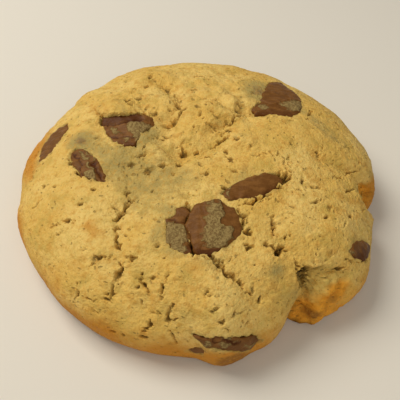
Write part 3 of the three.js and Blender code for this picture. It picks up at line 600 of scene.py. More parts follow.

# Chocolate: its middle on the crust, the way it faces, how thick it is and how far it is sunk, and
# seen from straight above it, in millimetres, its outline, the patches that a film of dough covers,
# furrows (width, depth, points; painted shade in them), shades (strength, outline; painted shade)
# and steps (rise, outline).
chocolatePieces = {
    "centre_chunk_left": {
        "at": [-3.6, -24.8], "facing": [-0.04, -0.21, 0.98], "thick": 6, "sunk": 0.1,
        "outline": [
            [-3.2, 2.6], [-1.5, 4.3], [-1.6, 6.1], [-0.1, 6.7], [1.1, 6.5], [1.1, 5.3],
            [1.5, 4.9], [0.8, 2.5], [1.5, 1.5], [2.3, -0.2], [3, -2.4], [3.6, -4.5], [2.6, -5.1],
            [0.8, -4.7], [-0.9, -4.1], [-2.5, -1.4],
        ],
        "film": [
            [[-3.4, 1.5], [-0.7, 2.1], [1, 1.4], [1.6, -0.2], [2.1, -2.5], [2.1, -4.5],
             [0.4, -4.8], [-2.4, -3.1]],
        ],
        "shades": [
            (0.6, [[1.7, -2.4], [2.3, -5], [3.9, -5], [3.4, -2.1]]),
        ],
        "furrows": [
            (0.5, 0.3, [[-2.3, 2.5], [-0.5, 2.5], [0.9, 2.2]]),
        ],
    },
    "centre_chunk_right": {
        "at": [2.5, -22.8], "facing": [0.02, -0.17, 0.98], "thick": 7, "sunk": -0.05,
        "outline": [
            [-4.5, 5.1], [-3, 6.7], [-0.8, 7.2], [1.4, 7.4], [2.9, 6.4], [5.3, 4.7], [6.1, 2],
            [6.2, -0.8], [4.6, -3], [2.3, -4.6], [-0.9, -5.9], [-3.4, -5.8], [-4.8, -4.9],
            [-4.9, -2.3], [-5.1, 0.3], [-5.8, 2.1],
        ],
        "film": [
            [[-0.7, 6.8], [2.4, 6.4], [2.6, 3.8], [2, 0.9], [3.7, -0.3], [4.2, -2.3],
             [3.2, -3.7], [0.9, -4.7], [-1.1, -4.5], [-2.3, -3.5], [-2.4, -1.9], [-1.7, -0.2],
             [-1.6, 1.9], [-0.6, 3.9]],
        ],
        "shades": [
            (0.75, [[-4.4, -4.2], [-2.1, -5], [1.3, -4.6], [2.1, -5.4], [-0.6, -6.6],
                    [-4.6, -5.9]]),
        ],
        "steps": [
            (0.2, [[-0.8, 7.3], [2.6, 6.6], [2.4, 1.1], [3.8, -1], [3.2, -3.7], [-2.2, -3.8],
                    [-1.6, 1.9]]),
        ],
    },
    "oval_chip": {
        "at": [9.8, -14], "facing": [0.05, -0.09, 0.99], "thick": 5, "sunk": 0.45,
        "outline": [
            [-7.3, 1.7], [-4.9, 2.6], [-1.7, 2.8], [1.7, 2.7], [5.1, 2.2], [7.6, 1.1], [8, -1],
            [5.3, -2.7], [2.2, -3.1], [-0.3, -2.9], [-3.6, -2], [-6.6, -1],
        ],
        "film": [
            [[-5.6, 2.5], [-3.6, 3.1], [-3.8, 2.1], [-5.3, 1.4]],
            [[3.6, 2.9], [5.3, 2.5], [5.1, 1.6], [3.7, 1.8]],
            [[-6.5, 0.7], [-4.6, 1.2], [-4.4, 0.5], [-6, -0.2]],
        ],
        "shades": [
            (0.5, [[-6.4, -0.7], [-2, -1.7], [4, -1.9], [6, -2.4], [2.2, -3.5], [-3.6, -2.5]]),
        ],
    },
    "back_chunk": {
        "at": [19, 15.6], "facing": [0.17, 0.13, 0.98], "thick": 6, "sunk": 0,
        "outline": [
            [-2.4, 11.1], [0.4, 10], [1, 8.2], [1.4, 5.6], [5.2, 1], [9.5, -5.6], [8.5, -9.6],
            [4.7, -8.9], [0.6, -8], [-3.4, -5.6], [-6, -2.9], [-7.9, 0.5], [-8.3, 3.5],
            [-6.6, 5.8], [-4.2, 7.7],
        ],
        "film": [
            [[-2.2, 2.6], [-2, -1.4], [-2.6, -5.9], [-6.2, -2.6], [-7.2, 0.7], [-5.6, 2.2]],
            [[-1.9, 8.8], [-0, 7.9], [0.5, 6.4], [-1.1, 6], [-2.5, 7.2]],
        ],
        "shades": [
            (0.5, [[-8.3, 3.2], [-6.5, 5.9], [-4.1, 7.9], [-2.2, 11.5], [-1.8, 8.9],
                    [-3.8, 5.8], [-5.6, 3.4], [-7.5, 1.4]]),
        ],
        "steps": [
            (0.35, [[-2.2, 4.5], [1.8, 5.3], [5.2, 1], [9.5, -5.4], [8.6, -9.8], [2, -9.2],
                    [-2.6, -5.9], [-2, -1.2]]),
        ],
    },
    "left_chunk": {
        "at": [-15.8, 3.2], "facing": [-0.09, 0.02, 1.00], "thick": 6, "sunk": 0.3,
        "outline": [
            [-4.2, -7.6], [-4.6, -4.8], [-4.9, -1.2], [-5.9, 2.1], [-5.8, 4.6], [-4.4, 7],
            [-2.6, 7.4], [-1.7, 6], [0.7, 4.8], [3.2, 5], [5.8, 4.6], [6, 2], [4.7, -1.5],
            [2.3, -4.1], [0.4, -5.4], [-1.8, -7.2],
        ],
        "film": [
            [[-1.8, 0.2], [-2.9, 3.6], [-2.8, 6.9], [0.4, 6], [3.4, 5.2], [4.5, 4.2], [1.6, 2.7],
             [0.3, 1]],
            [[0.1, -3.7], [1.5, -2.5], [2, -0.5], [1.2, 0.4], [0.3, -1.2], [-0.4, -2.5]],
            [[3.1, 0.6], [4.5, 1.3], [4.1, 2.7], [2.7, 1.9]],
        ],
        "shades": [
            (0.75, [[-5, -8], [-1.8, -7.4], [-1.7, -3.4], [-2.2, 0.1], [-3.3, 3.5], [-6.1, 3.5],
                    [-5, -1]]),
            (0.5, [[4.3, -1.5], [6.6, 2.1], [6, 5], [4.8, 4.4], [4.6, 1.3]]),
        ],
        "steps": [
            (-0.4, [[-5, -8], [-1.8, -7.7], [-1.2, -3.4], [-1.8, 0.2], [-2.9, 3.6], [-6.1, 3.5],
                    [-5, -1]]),
        ],
        "furrows": [
            (0.8, 0.5, [[-1.6, -6.5], [-1.2, -3.6], [-1.5, -0.8], [-2.6, 1.4], [-3.6, 3.8]]),
            (0.5, 0.3, [[2.7, -3], [3, -0.4], [2.6, 1.6], [3.4, 3.4]]),
        ],
    },
    "left_chip": {
        "at": [-23.4, -7.2], "facing": [-0.20, -0.06, 0.98], "thick": 5, "sunk": 0.25,
        "outline": [
            [-7, -3.4], [-7.9, -2.1], [-7.2, -0.4], [-4.6, 1.4], [-1, 2.8], [2.9, 3.6],
            [7.3, 3.5], [6.7, 2.2], [4.9, 0.8], [4.5, -0.6], [2.5, -2.1], [-1.2, -3.2],
            [-4.5, -3.6],
        ],
        "film": [
            [[-6, -1.2], [-3.5, 0.4], [-0.8, 0.8], [1.9, 1.6], [4.6, 1.6], [4.7, 0.4],
             [3.4, -0.7], [1.4, 0.3], [-1.6, -0.2], [-4.6, -1.4]],
            [[-6.1, 0.2], [-3.5, 1.4], [-1.1, 2.5], [-0.8, 1.8], [-3.5, 0.8]],
        ],
        "shades": [
            (0.6, [[-0.8, 1.7], [2, 2.4], [6.2, 3.3], [7.8, 3.5], [7.1, 2.5], [4.1, 1.7]]),
        ],
        "furrows": [
            (0.4, 0.25, [[-5.9, -2.6], [-2.7, -1.3], [1.2, -1.2], [2.9, -1.4]]),
            (0.6, 0.4, [[-0.7, 1.3], [2.1, 2.1], [6.2, 2.9]]),
        ],
    },
    "far_left_chip": {
        "at": [-36.2, 3.2], "facing": [-0.46, 0.06, 0.89], "thick": 4.5, "sunk": 0.1,
        "outline": [
            [-8.5, 2.5], [-7.9, -0.2], [-5.2, -2.2], [-1.2, -2.9], [3.1, -2.5], [6.3, -1.7],
            [5.2, 0.6], [1.7, 2.1], [-2.3, 2.9], [-5.2, 3.7],
        ],
        "film": [],
    },
    "right_chip": {
        "at": [36.9, -28.3], "facing": [0.65, -0.36, 0.67], "thick": 4.5, "sunk": -0.3,
        "outline": [
            [-3.4, 2.7], [-1.7, 2.9], [0.7, 1.7], [3.4, -0.5], [4.8, -3.1], [2.6, -3.6],
            [-0.5, -2.4], [-3.2, 0.7],
        ],
        "film": [
            [[-3.7, 2.9], [-2.3, 2.7], [-2.4, 1.6], [-3.6, 1.1]],
        ],
        "shades": [
            (0.7, [[-3.4, 1.3], [-0.4, 0.2], [4, -2.7], [4.9, -3.2], [2.6, -3.9], [-0.8, -2.9],
                   [-3.6, 0.4]]),
        ],
    },
    "front_chunk": {
        "at": [6.9, -52.5], "facing": [0.27, -0.87, 0.41], "thick": 5, "sunk": 0.1,
        "outline": [
            [-7, 2.5], [-4.6, 1.6], [-2.5, 2.3], [-0.3, 1.8], [2.5, 0.6], [5.2, -0], [7.7, -2.9],
            [6.4, -3.1], [4.3, -4.8], [0.1, -2], [-2.6, -1.3], [-4.9, -0.8],
        ],
        "film": [
            [[2.6, -1.4], [4.9, -2.2], [5.4, -2.6], [3.4, -4]],
            [[-1.9, 1.6], [0.4, 0.9], [1.6, 0.3], [0.6, -0.6], [-1.4, -0.2]],
            [[-5.1, 0.5], [-3.6, 1.4], [-3.7, -0.1], [-4.9, -0.4]],
        ],
        "shades": [
            (0.2, [[-5.6, 0.9], [0.1, -1.5], [3.9, -3.5], [4, -5], [-2.8, -1.8]]),
        ],
        "furrows": [
            (0.5, 0.25, [[-2.9, 1.4], [-1.5, 0.6], [0.7, 0.4], [2, -0.6]]),
        ],
    },
    "front_chip": {
        "at": [-0.9, -60.8], "facing": [-0.25, -0.97, -0.03], "thick": 2.5, "sunk": 0.05,
        "outline": [
            [-1.7, -0.3], [-0.1, 0.9], [1.3, 1.7], [2.2, 1.2], [1, -0.9], [-0.6, -1.2],
        ],
        "film": [],
    },
}

# Where the dough is grey with a smear of chocolate, where the tear gets painted shade, and where
# it is browned, with painted shadow under the lobes and along the foot: place, spread, strength.
greySmears = [
    ([-26.4, 0.8], 3, 1.45), ([-23.3, -0.6], 4, 0.6), ([-18.6, -4.8], 5, 0.6), ([-14.7, -8.6], 5.5, 0.55),
    ([-8.5, -11.5], 6.5, 0.5), ([-3, -10.5], 5, 0.45), ([-10.7, -17.2], 5, 0.35), ([-12.4, -1.2], 4, 0.5),
    ([-6.6, -25.5], 3, 0.8), ([-4.6, -29.5], 2.6, 0.6), ([-5.4, -19.9], 2.4, 0.6),
    ([8.1, -11.6], 2.6, 0.7), ([12.5, -10.6], 2.4, 0.6), ([14.2, 16.8], 3.8, 1.6), ([14.3, 21.6], 4, 0.8),
    ([24.5, 11.3], 3.4, 0.6), ([-10.4, 2], 3.6, 0.8), ([-13.5, 5], 2.6, 0.6), ([-16.5, 9.4], 2.4, 0.5),
    ([2.5, -29.8], 3, 0.6), ([15.2, -34.4], 2.2, 0.9), ([20, -42.5], 4.5, 0.6), ([24.5, -48.5], 4.5, 0.5),
    ([27.5, 6.5], 3, 0.6), ([31.5, 4], 3, 0.6), ([35.5, 1.5], 3, 0.4), ([34, -27], 2.4, 0.6),
]
shadedPlaces = [
    ([20.8, -34.4], 2.2, 1.8), ([21, -36.6], 1.5, 1.7), ([22.6, -39.4], 1.5, 0.5), ([25, -33], 1.5, 0.6),
    ([28, -33], 1.4, 0.45), ([25.4, -42], 1.3, 0.6), ([27, -45.5], 1.5, 0.5),
]
brownAndShadePlaces = [
    ([51, -7.5], 5, 1.0), ([58, -6.4], 6, 1.2), ([41, -15.3], 3, 0.4), ([33.4, -39.6], 3, 1.1),
    ([34.5, -44], 3.4, 1.2), ([35, -50], 4, 0.6), ([42, -58], 7, 0.5), ([31.7, -52.5], 3.4, 1.5),
    ([-56, -36], 7, 0.5), ([-48, -48], 8, 0.6), ([-38, -58], 8, 0.6), ([-60, -20], 6, 0.5),
    ([-51.7, -18.5], 5, 0.5), ([-53.5, -22.9], 5, 0.5), ([-47, 1], 6, 0.9), ([-45, 10], 7, 0.7),
    ([8.5, -62.5], 5, 2.2), ([-0.6, -33.2], 2.6, 0.55), ([-21, -24.3], 3, 0.6), ([-34.3, -36.5], 6, 0.35),
    ([-26.2, -54.5], 7, 0.4), ([-10.7, -62.6], 6, 0.45), ([10.7, -46.5], 3.4, 0.3), ([-24, 12.2], 3, 0.5),
    ([-21, 9.6], 2, 0.3), ([-41, 4], 3, 0.8), ([-43, -4], 4, 0.6), ([5.5, -15.6], 1.4, 0.6),
]


def blobs(place, spots):
    total = np.zeros(len(place))
    for at, spread, strength in spots:
        total += strength * np.exp(-(((place - at) ** 2).sum(axis=1)) / spread**2)
    return total


doughValues = {
    "splits": 7,
    "crackMargin": 0.4,  # the mesh is split once this far from a crack's edge, and again nearer
    "fineMargin": 0.0,
    "socketDepth": 3.0,
    "poreCount": 380,
    "poreSeed": 5,
    "crackWidth": 1.1,
    "smallCracks": 60,
    "topSink": 0.9,  # takes the lumps on top back to the height of the cookie
    "ceiling": 25.9,
    "billowHeight": 1.7,
    "flakeHeight": 0.25,
    "grainHeight": 0.15,
}
# From the top of the ball to its bottom, as shares, and the reach that each turns into.
ballShares = [0, 0.6, 0.72, 1]
ballReaches = [0, 1, 1.25, 2]


def ballToCrust(points):
    ball = points / np.linalg.norm(points, axis=1)[:, None]
    share = np.arccos(np.clip(ball[:, 2], -1, 1)) / np.pi
    reach = np.interp(share, ballShares, ballReaches) * cookieForm["crustReach"]
    flat = np.maximum(np.hypot(ball[:, 0], ball[:, 1]), 1e-9)
    return reach[:, None] * ball[:, :2] / flat[:, None]


def seededPores():
    draw = np.random.default_rng(doughValues["poreSeed"])
    pores = []
    while len(pores) < doughValues["poreCount"]:
        angle, reach = draw.uniform(0, 2 * np.pi), 66 * np.sqrt(draw.uniform())
        at = np.array([reach * np.cos(angle), reach * np.sin(angle)])
        smoothFront = np.exp(-((at[0] + 25) ** 2 + (at[1] + 30) ** 2) / 18**2)
        if draw.uniform() < 0.75 * smoothFront:
            continue
        size = 0.3 + 0.6 * draw.uniform() ** 3
        pores.append((at, size, size * 0.5, size * 1.1, draw.normal(0, 40)))
    return pores


# Short thin cracks all over the crust, most of them running from the middle to the rim.
def seededCracks():
    draw = np.random.default_rng(doughValues["poreSeed"] + 1)
    lines = []
    while len(lines) < doughValues["smallCracks"]:
        angle, reach = draw.uniform(0, 2 * np.pi), 50 * np.sqrt(draw.uniform())
        line = [np.array([reach * np.cos(angle), reach * np.sin(angle)])]
        heading = angle + draw.normal(0, 0.6) + (np.pi / 2 if draw.uniform() < 0.3 else 0)
        for _ in range(3):
            heading += draw.normal(0, 0.6)
            line.append(line[-1] + draw.uniform(0.5, 1.3) * np.array([np.cos(heading), np.sin(heading)]))
        lines.append((draw.uniform(0.4, 0.75), draw.uniform(0.6, 1.1), line))
    return lines


# The share of a ledge's height at each place: sudden at the line, fading away behind it.
def ledgeRise(place, line, spread):
    line = np.array(line, float)
    away, along = awayFromLine(place, line)
    side = np.full(len(place), -1.0)
    nearest = np.full(len(place), 1e9)
    for start, end in zip(line, line[1:]):
        step = (end - start) / np.linalg.norm(end - start)
        t = np.clip((place - start) @ step, 0, np.linalg.norm(end - start))
        gap = np.linalg.norm(place - start - t[:, None] * step, axis=1)
        turn = (place[:, 0] - start[0]) * step[1] - (place[:, 1] - start[1]) * step[0]
        side = np.where(gap < nearest, np.sign(turn), side)
        nearest = np.minimum(gap, nearest)
    signed = away * side
    ends = np.sin(np.pi * np.clip(along, 0.08, 0.92))
    return smoothStep(-0.25, 0.35, signed) * np.exp(-np.maximum(signed, 0) / spread) * ends


def near(place, middle, distance):
    return np.nonzero(((place - middle) ** 2).sum(axis=1) < distance**2)[0]


def markSplits(place, margin):
    marked = np.zeros(len(place), bool)
    small = margin > doughValues["fineMargin"]
    for width, _, line in cracks + gaps + (seededCracks() if small else []):
        middle = np.mean(line, axis=0)
        span = max(np.linalg.norm(np.array(line) - middle, axis=1)) + 4
        some = near(place, middle, span)
        marked[some] |= awayFromLine(place[some], line)[0] < width / 2 + margin
    for at, long, wide, _, _ in pits + (seededPores() if small else []):
        marked[near(place, at, long + margin * 0.7)] = True
    for piece in chocolatePieces.values():
        some, local = aroundPiece(place, piece)
        marked[some] |= np.abs(outsideOf(local, piece["outline"])) < margin * 1.1
    for _, rim in tears:
        line = np.array(rim)[:, :2]
        marked |= np.abs(outsideOf(place, line)) < margin * 1.2
    return marked


# The places round a piece of chocolate, as seen from straight above the piece.
def aroundPiece(place, piece):
    origin, along, up, _ = pieceFrame(piece)
    some = near(place, piece["at"], 16)
    offset = crustPoint(place[some]) - origin
    return some, np.stack([offset @ along, offset @ up], axis=1)


def tearDepth(place, rim, middle):
    rim = np.array(rim, float)
    centre = rim[:, :2].mean(axis=0)
    turns = np.arctan2(rim[:, 1] - centre[1], rim[:, 0] - centre[0])
    order = np.argsort(turns)
    reaches = np.linalg.norm(rim[:, :2] - centre, axis=1)[order]
    turn = np.arctan2(place[:, 1] - centre[1], place[:, 0] - centre[0])
    reach = np.interp(turn, turns[order], reaches, period=2 * np.pi)
    depth = np.interp(turn, turns[order], rim[order, 2], period=2 * np.pi)
    share = np.clip(np.linalg.norm(place - centre, axis=1) / reach, 0, 1)
    return middle + (depth - middle) * share


def buildDough(material):
    bpy.ops.mesh.primitive_ico_sphere_add(subdivisions=doughValues["splits"], radius=1)
    dough = bpy.context.object
    dough.name = "baked_dough"
    for margin in (doughValues["crackMargin"], doughValues["fineMargin"]):
        place = ballToCrust(readPoints(dough))
        marked = markSplits(place, margin)
        corners = np.zeros(len(dough.data.loops), np.int32)
        dough.data.loops.foreach_get("vertex_index", corners)
        chosen = marked[corners.reshape(-1, 3)].any(axis=1)
        dough.data.vertices.foreach_set("select", np.zeros(len(dough.data.vertices), bool))
        dough.data.edges.foreach_set("select", np.zeros(len(dough.data.edges), bool))
        dough.data.polygons.foreach_set("select", chosen)
        bpy.ops.object.mode_set(mode="EDIT")
        bpy.ops.mesh.select_mode(type="FACE")
        bpy.ops.mesh.subdivide(number_cuts=1)
        bpy.ops.mesh.select_all(action="SELECT")
        bpy.ops.mesh.quads_convert_to_tris(quad_method="BEAUTY", ngon_method="BEAUTY")
        bpy.ops.object.mode_set(mode="OBJECT")
    print("dough mesh:", len(dough.data.polygons), "triangles")
    shapeDough(dough)
    dough.data.polygons.foreach_set("use_smooth", np.ones(len(dough.data.polygons), bool))
    handOver(dough, material, "dough", "dough")
    return dough


# How far the crust rises in lumps and flakes, and how much of a valley each place is in.
def crustLift(place, skin, ragged, middling, fine):
    reach = np.hypot(place[:, 0], place[:, 1]) / cookieForm["crustReach"]
    onTop = 1 - smoothStep(0.85, 1.05, reach)
    crumbly = np.clip(0.2 + blobs(place, crumblyPlaces), 0, 1) * (0.35 + 0.65 * onTop)
    lift = blobs(place, knolls) * (1 - smoothStep(0.8, 1, reach))
    billows = np.abs(kindOfLumps(skin, "billows")) + 0.4 * np.abs(kindOfLumps(skin, "creases"))
    lift += doughValues["billowHeight"] * crumbly * (billows - 0.35)
    flakes = kindOfLumps(skin, "flakes") + 0.25 * middling
    lift += doughValues["flakeHeight"] * crumbly * smoothStep(-0.05, 0.05, flakes)
    lift += doughValues["grainHeight"] * (middling + 0.7 * fine) * (0.45 + crumbly)
    inValley = np.zeros(len(place))
    for width, depth, line in valleys:
        away, _ = awayFromLine(place, line)
        valley = np.exp(-((away / width) ** 2))
        lift -= depth * valley
        inValley = np.maximum(inValley, valley)
    for height, spread, line in ledges:
        lift += height * ledgeRise(place + 0.3 * ragged[:, None], line, spread)
    return lift, inValley


def shapeDough(dough):
    place = ballToCrust(readPoints(dough))
    skin, out = crustWithNormals(place)
    reach = np.hypot(place[:, 0], place[:, 1]) / cookieForm["crustReach"]
    coarse, middling, fine, beads = (
        kindOfLumps(skin, kind) for kind in ("coarse", "middling", "fine", "beads")
    )
    ragged = 0.6 * coarse + middling + 0.5 * fine
    lift, inValley = crustLift(place, skin, ragged, middling, fine)
    # Painted shade: valleys, cracks, gaps, pits and deep carving get a darker colour, partly the deeper
    # tint of the crumb and partly painted shade.
    hollowTintAndShade = 0.22 * inValley
    crumb = np.zeros(len(place))
    carve = np.zeros(len(place))
    wobble = np.stack([kindOfLumps(skin, "wobbleAcross"), kindOfLumps(skin, "wobbleAlong")], axis=1)
    wobbled = place + 0.45 * wobble + 0.2 * ragged[:, None]
    for middle, rim in tears:
        outside = outsideOf(wobbled, np.array(rim)[:, :2])
        inside = 1 - smoothStep(-0.55, 0.05, outside)
        depth = tearDepth(place, rim, middle) * inside
        roughFloor = 1.7 * np.abs(kindOfLumps(skin, "tornFloor")) + 0.6 * np.abs(coarse) + 0.3 * middling
        carve = np.maximum(carve, depth - roughFloor * inside)
        crumb = np.maximum(crumb, inside)
    # Painted shade where the tear is carved deep and in its shaded places.
    hollowTintAndShade = np.maximum(hollowTintAndShade, 0.9 * smoothStep(2.6, 4.2, carve))
    hollowTintAndShade = np.maximum(hollowTintAndShade, np.clip(crumb * 3, 0, 1) * np.clip(blobs(place, shadedPlaces), 0, 1.7))
    # Cracks and gaps are carved, and painted darker inside: crumb tint and painted shade.
    for width, depth, line in cracks + gaps + seededCracks():
        middle = np.mean(line, axis=0)
        span = max(np.linalg.norm(np.array(line) - middle, axis=1)) + 4
        some = near(place, middle, span)
        away, along = awayFromLine(place[some] + 0.55 * wobble[some], line)
        opened = 0.55 + 0.9 * beads[some] + 0.55 * middling[some]
        opened = np.clip(opened, 0.02, 1.2) * (0.4 + 0.6 * np.sin(np.pi * along))
        half = doughValues["crackWidth"] * 0.5 * width * opened + 0.05
        gap = 1 - smoothStep(0.5, 1.2, (away + 0.42 * ragged[some]) / half)
        carve[some] = np.maximum(carve[some], gap * depth * (0.2 + 0.8 * opened))
        hollowTintAndShade[some] = np.maximum(hollowTintAndShade[some], gap * np.minimum(1, 0.4 + 0.5 * opened))
    # Pits are carved, and painted darker inside: crumb tint and painted shade.
    for at, long, wide, deep, turn in pits + seededPores():
        some = near(place, at, long * 1.8)
        angle = np.radians(turn)
        offset = place[some] - at
        across = offset @ [np.cos(angle), np.sin(angle)] / long
        beside = offset @ [-np.sin(angle), np.cos(angle)] / wide
        share = np.hypot(across, beside) + 0.5 * ragged[some]
        dent = 1 - smoothStep(0.45, 1.15, share)
        carve[some] = np.maximum(carve[some], dent * deep)
        hollowTintAndShade[some] = np.maximum(hollowTintAndShade[some], dent * min(1, 0.45 + 0.4 * deep))
    film = blobs(place, greySmears)
    for piece in chocolatePieces.values():
        some, local = aroundPiece(place, piece)
        outside = outsideOf(local, piece["outline"]) + 0.3 * ragged[some]
        socket = 1 - smoothStep(-0.45, 0.1, outside)
        carve[some] = np.maximum(carve[some], socket * doughValues["socketDepth"])
        film[some] = np.maximum(film[some], 0.75 * np.exp(-np.maximum(outside, 0) / 0.9))
    for lean, spread, line in overhangs:
        away, _ = awayFromLine(place, line)
        share = np.exp(-((away / spread) ** 2)) * (1 - smoothStep(0.3, 1.5, carve))
        skin[:, :2] += share[:, None] * lean
    under = smoothStep(1.2, 1.26, reach)
    lift *= 1 - under
    lift -= doughValues["topSink"] * smoothStep(23, 26, skin[:, 2])
    skin = skin + out * (lift - carve * (1 - under))[:, None]
    above = np.maximum(skin[:, 2] - doughValues["ceiling"], 0)
    skin[:, 2] -= above - np.tanh(above)
    skin[:, 2] += under * np.maximum(0, kindOfLumps(skin, "base") - 0.35) * 0.8
    skin[:, 2] = np.maximum(skin[:, 2], 0)
    writePoints(dough, skin)
    paint(dough, "hollowTintAndShade", hollowTintAndShade)
    paint(dough, "film", film)
    paint(dough, "crumb", crumb)
    # Browning towards the rim; near the foot the extra brown is partly a browned base and partly painted
    # shadow.
    rimBrown = 0.95 * smoothStep(0.76, 1.08, reach) * (0.75 + 0.5 * kindOfLumps(skin, "browning"))
    nearFoot = smoothStep(1.02, 1.2, reach)
    paint(dough, "brownAndFootShade", blobs(place, brownAndShadePlaces) + rimBrown + 1.1 * nearFoot)
    layer = dough.data.attributes.new("crust", "FLOAT_VECTOR", "POINT")
    flat = np.column_stack([place, np.zeros(len(place))])
    layer.data.foreach_set("vector", flat.astype(np.float32).ravel())


doughColours = {
    "crust": colourOf(222, 182, 90),
    "pale": colourOf(232, 198, 112),
    "tan": colourOf(204, 150, 60),
    "olive": colourOf(184, 156, 70),
    # The next two browns also serve as painted shadow near the foot and under the lobes.
    "brownAndFootShade": colourOf(200, 134, 34),
    "baked": colourOf(150, 96, 20),
    "film": colourOf(176, 154, 86),
    "heavyFilm": colourOf(140, 115, 70),
    # The next two dark colours are painted shade in hollows, the first over the crumb's deeper tint.
    "hollowTintAndShade": colourOf(100, 72, 14),
    "deepShadow": colourOf(52, 30, 4),
    "golden": colourOf(226, 156, 42),
    "crumb": colourOf(222, 188, 98),
}


def bakedDough():
    recipe = Recipe("baked dough")
    cloud = recipe.noise(14, 2)
    patch = recipe.noise(2.6, 4, 0.6)
    olivePatch = recipe.noise(4.2, 4, 0.6)
    grain = recipe.noise(0.9, 4, 0.7)
    colour = recipe.mix(recipe.ramp(cloud, 0.35, 0.65), doughColours["crust"], doughColours["pale"])
    tan = recipe.calculate("MULTIPLY", recipe.ramp(patch, 0.5, 0.7), 0.7)
    colour = recipe.mix(tan, colour, doughColours["tan"])
    olive = recipe.calculate("MULTIPLY", recipe.ramp(olivePatch, 0.48, 0.68), 0.5)
    colour = recipe.mix(olive, colour, doughColours["olive"])
    colour = recipe.mix(recipe.attribute("crumb"), colour, doughColours["crumb"])
    # Browning, with painted shadow near the foot and under the lobes.
    brownAndFootShade = recipe.calculate("MULTIPLY_ADD", patch, 0.7, recipe.attribute("brownAndFootShade"))
    browned = recipe.mix(recipe.attribute("crumb"), doughColours["brownAndFootShade"], doughColours["golden"])
    colour = recipe.mix(recipe.ramp(brownAndFootShade, 0.45, 1.45), colour, browned)
    # The darkest browns: a baked base with painted shadow where the foot meets the floor.
    colour = recipe.mix(recipe.ramp(brownAndFootShade, 1.7, 2.7), colour, doughColours["baked"])
    smear = recipe.calculate("MULTIPLY_ADD", patch, 1.6, recipe.attribute("film"))
    smear = recipe.calculate("MULTIPLY_ADD", grain, 0.5, smear)
    colour = recipe.mix(recipe.ramp(smear, 1.15, 2.1), colour, doughColours["film"])
    colour = recipe.mix(recipe.ramp(smear, 2.3, 2.9), colour, doughColours["heavyFilm"])
    pores = recipe.calculate("MAXIMUM", recipe.strokes(3.0, 0.6, 2.2, 1), recipe.strokes(1.9, 0.4, 1.6, 2))
    # Pores painted darker: crumb tint and painted shade.
    colour = recipe.mix(recipe.calculate("MULTIPLY", pores, 0.45), colour, doughColours["hollowTintAndShade"])
    # Painted shade in cracks, pits, valleys and the tear, over the crumb's deeper tint.
    deep = recipe.ramp(recipe.attribute("hollowTintAndShade"), 0.1, 0.95)
    colour = recipe.mix(recipe.calculate("MULTIPLY", deep, 0.9), colour, doughColours["hollowTintAndShade"])
    # Painted shadow, nearly black, in the tear's cave and the deepest pits.
    deepShadow = recipe.ramp(recipe.attribute("hollowTintAndShade"), 0.95, 1.6)
    colour = recipe.mix(recipe.calculate("MULTIPLY", deepShadow, 0.9), colour, doughColours["deepShadow"])
    speckle = recipe.ramp(grain, 0.45, 0.72)
    colour = recipe.mix(recipe.calculate("MULTIPLY", speckle, 0.55), colour, doughColours["tan"])
    height = recipe.calculate("MULTIPLY", recipe.noise(1.3, 2, 0.5), 0.6)
    height = recipe.calculate("MULTIPLY_ADD", recipe.noise(0.5, 1, 0.5), 0.3, height)
    height = recipe.calculate("SUBTRACT", height, recipe.calculate("MULTIPLY", pores, 0.3))
    recipe.shader.inputs["Specular IOR Level"].default_value = 0.3
    recipe.shader.inputs["Subsurface Weight"].default_value = 0.08
    recipe.shader.inputs["Subsurface Radius"].default_value = (0.0012, 0.0008, 0.0004)
    recipe.shader.inputs["Subsurface Scale"].default_value = 1.0
    return recipe.finish(colour, recipe.ramp(grain, -0.6, 1.0), height, 0.75)


chocolateColours = {
    "milk": colourOf(111, 71, 30),
    "light": colourOf(129, 86, 40),
    "paintedShade": colourOf(76, 36, 8),
    "film": colourOf(160, 136, 84),
    "filmDots": colourOf(128, 103, 60),
}


def milkChocolate():
    recipe = Recipe("milk chocolate")
    cloud = recipe.noise(2.6, 3, 0.6, stretch=(1, 2.2, 1))
    grain = recipe.noise(0.5, 3, 0.6)
    speckle = recipe.noise(0.75, 3, 0.65)
    colour = recipe.mix(recipe.ramp(cloud, 0.4, 0.65), chocolateColours["milk"], chocolateColours["light"])
    # Painted shade on the chocolate's lower sides, in its furrows and on its shaded patches.
    colour = recipe.mix(recipe.attribute("paintedShade"), colour, chocolateColours["paintedShade"])
    coat = recipe.calculate("MULTIPLY_ADD", speckle, 1.5, recipe.attribute("film"))
    coat = recipe.ramp(coat, 1.05, 1.75)
    dots = recipe.ramp(recipe.noise(0.55, 2, 0.7), 0.38, 0.62)
    coatColour = recipe.mix(dots, chocolateColours["filmDots"], chocolateColours["film"])
    colour = recipe.mix(coat, colour, coatColour)
    height = recipe.calculate("MULTIPLY_ADD", grain, 0.3, recipe.calculate("MULTIPLY", cloud, 0.7))
    height = recipe.calculate("MULTIPLY_ADD", recipe.calculate("MULTIPLY", coat, speckle), 1.2, height)
    roughness = recipe.calculate("MULTIPLY_ADD", coat, 0.25, 0.45)
    recipe.shader.inputs["Specular IOR Level"].default_value = 0.12
    return recipe.finish(colour, roughness, height, 0.35)


chocolateValues = {
    "voxel": 0.3,
    "cornerCut": 0.12,
    "overlap": 0.4,  # how far the chocolate reaches under the ragged edge of the crust
    "topLumps": 0.2,
    "edgeRound": 0.25,
    "raggedness": 0.4,
}


# Cuts the corners of an outline, so that its edge reads as broken and melted.
def softened(outline):
    cut = chocolateValues["cornerCut"]
    outline = np.array(outline, float)
    after = np.roll(outline, -1, axis=0)
    return np.stack([outline + (after - outline) * cut, after - (after - outline) * cut], 1).reshape(-1, 2)


def curveTerms(x, y):
    return np.stack([np.ones(len(x)), x, y, x * x, x * y, y * y], axis=1)


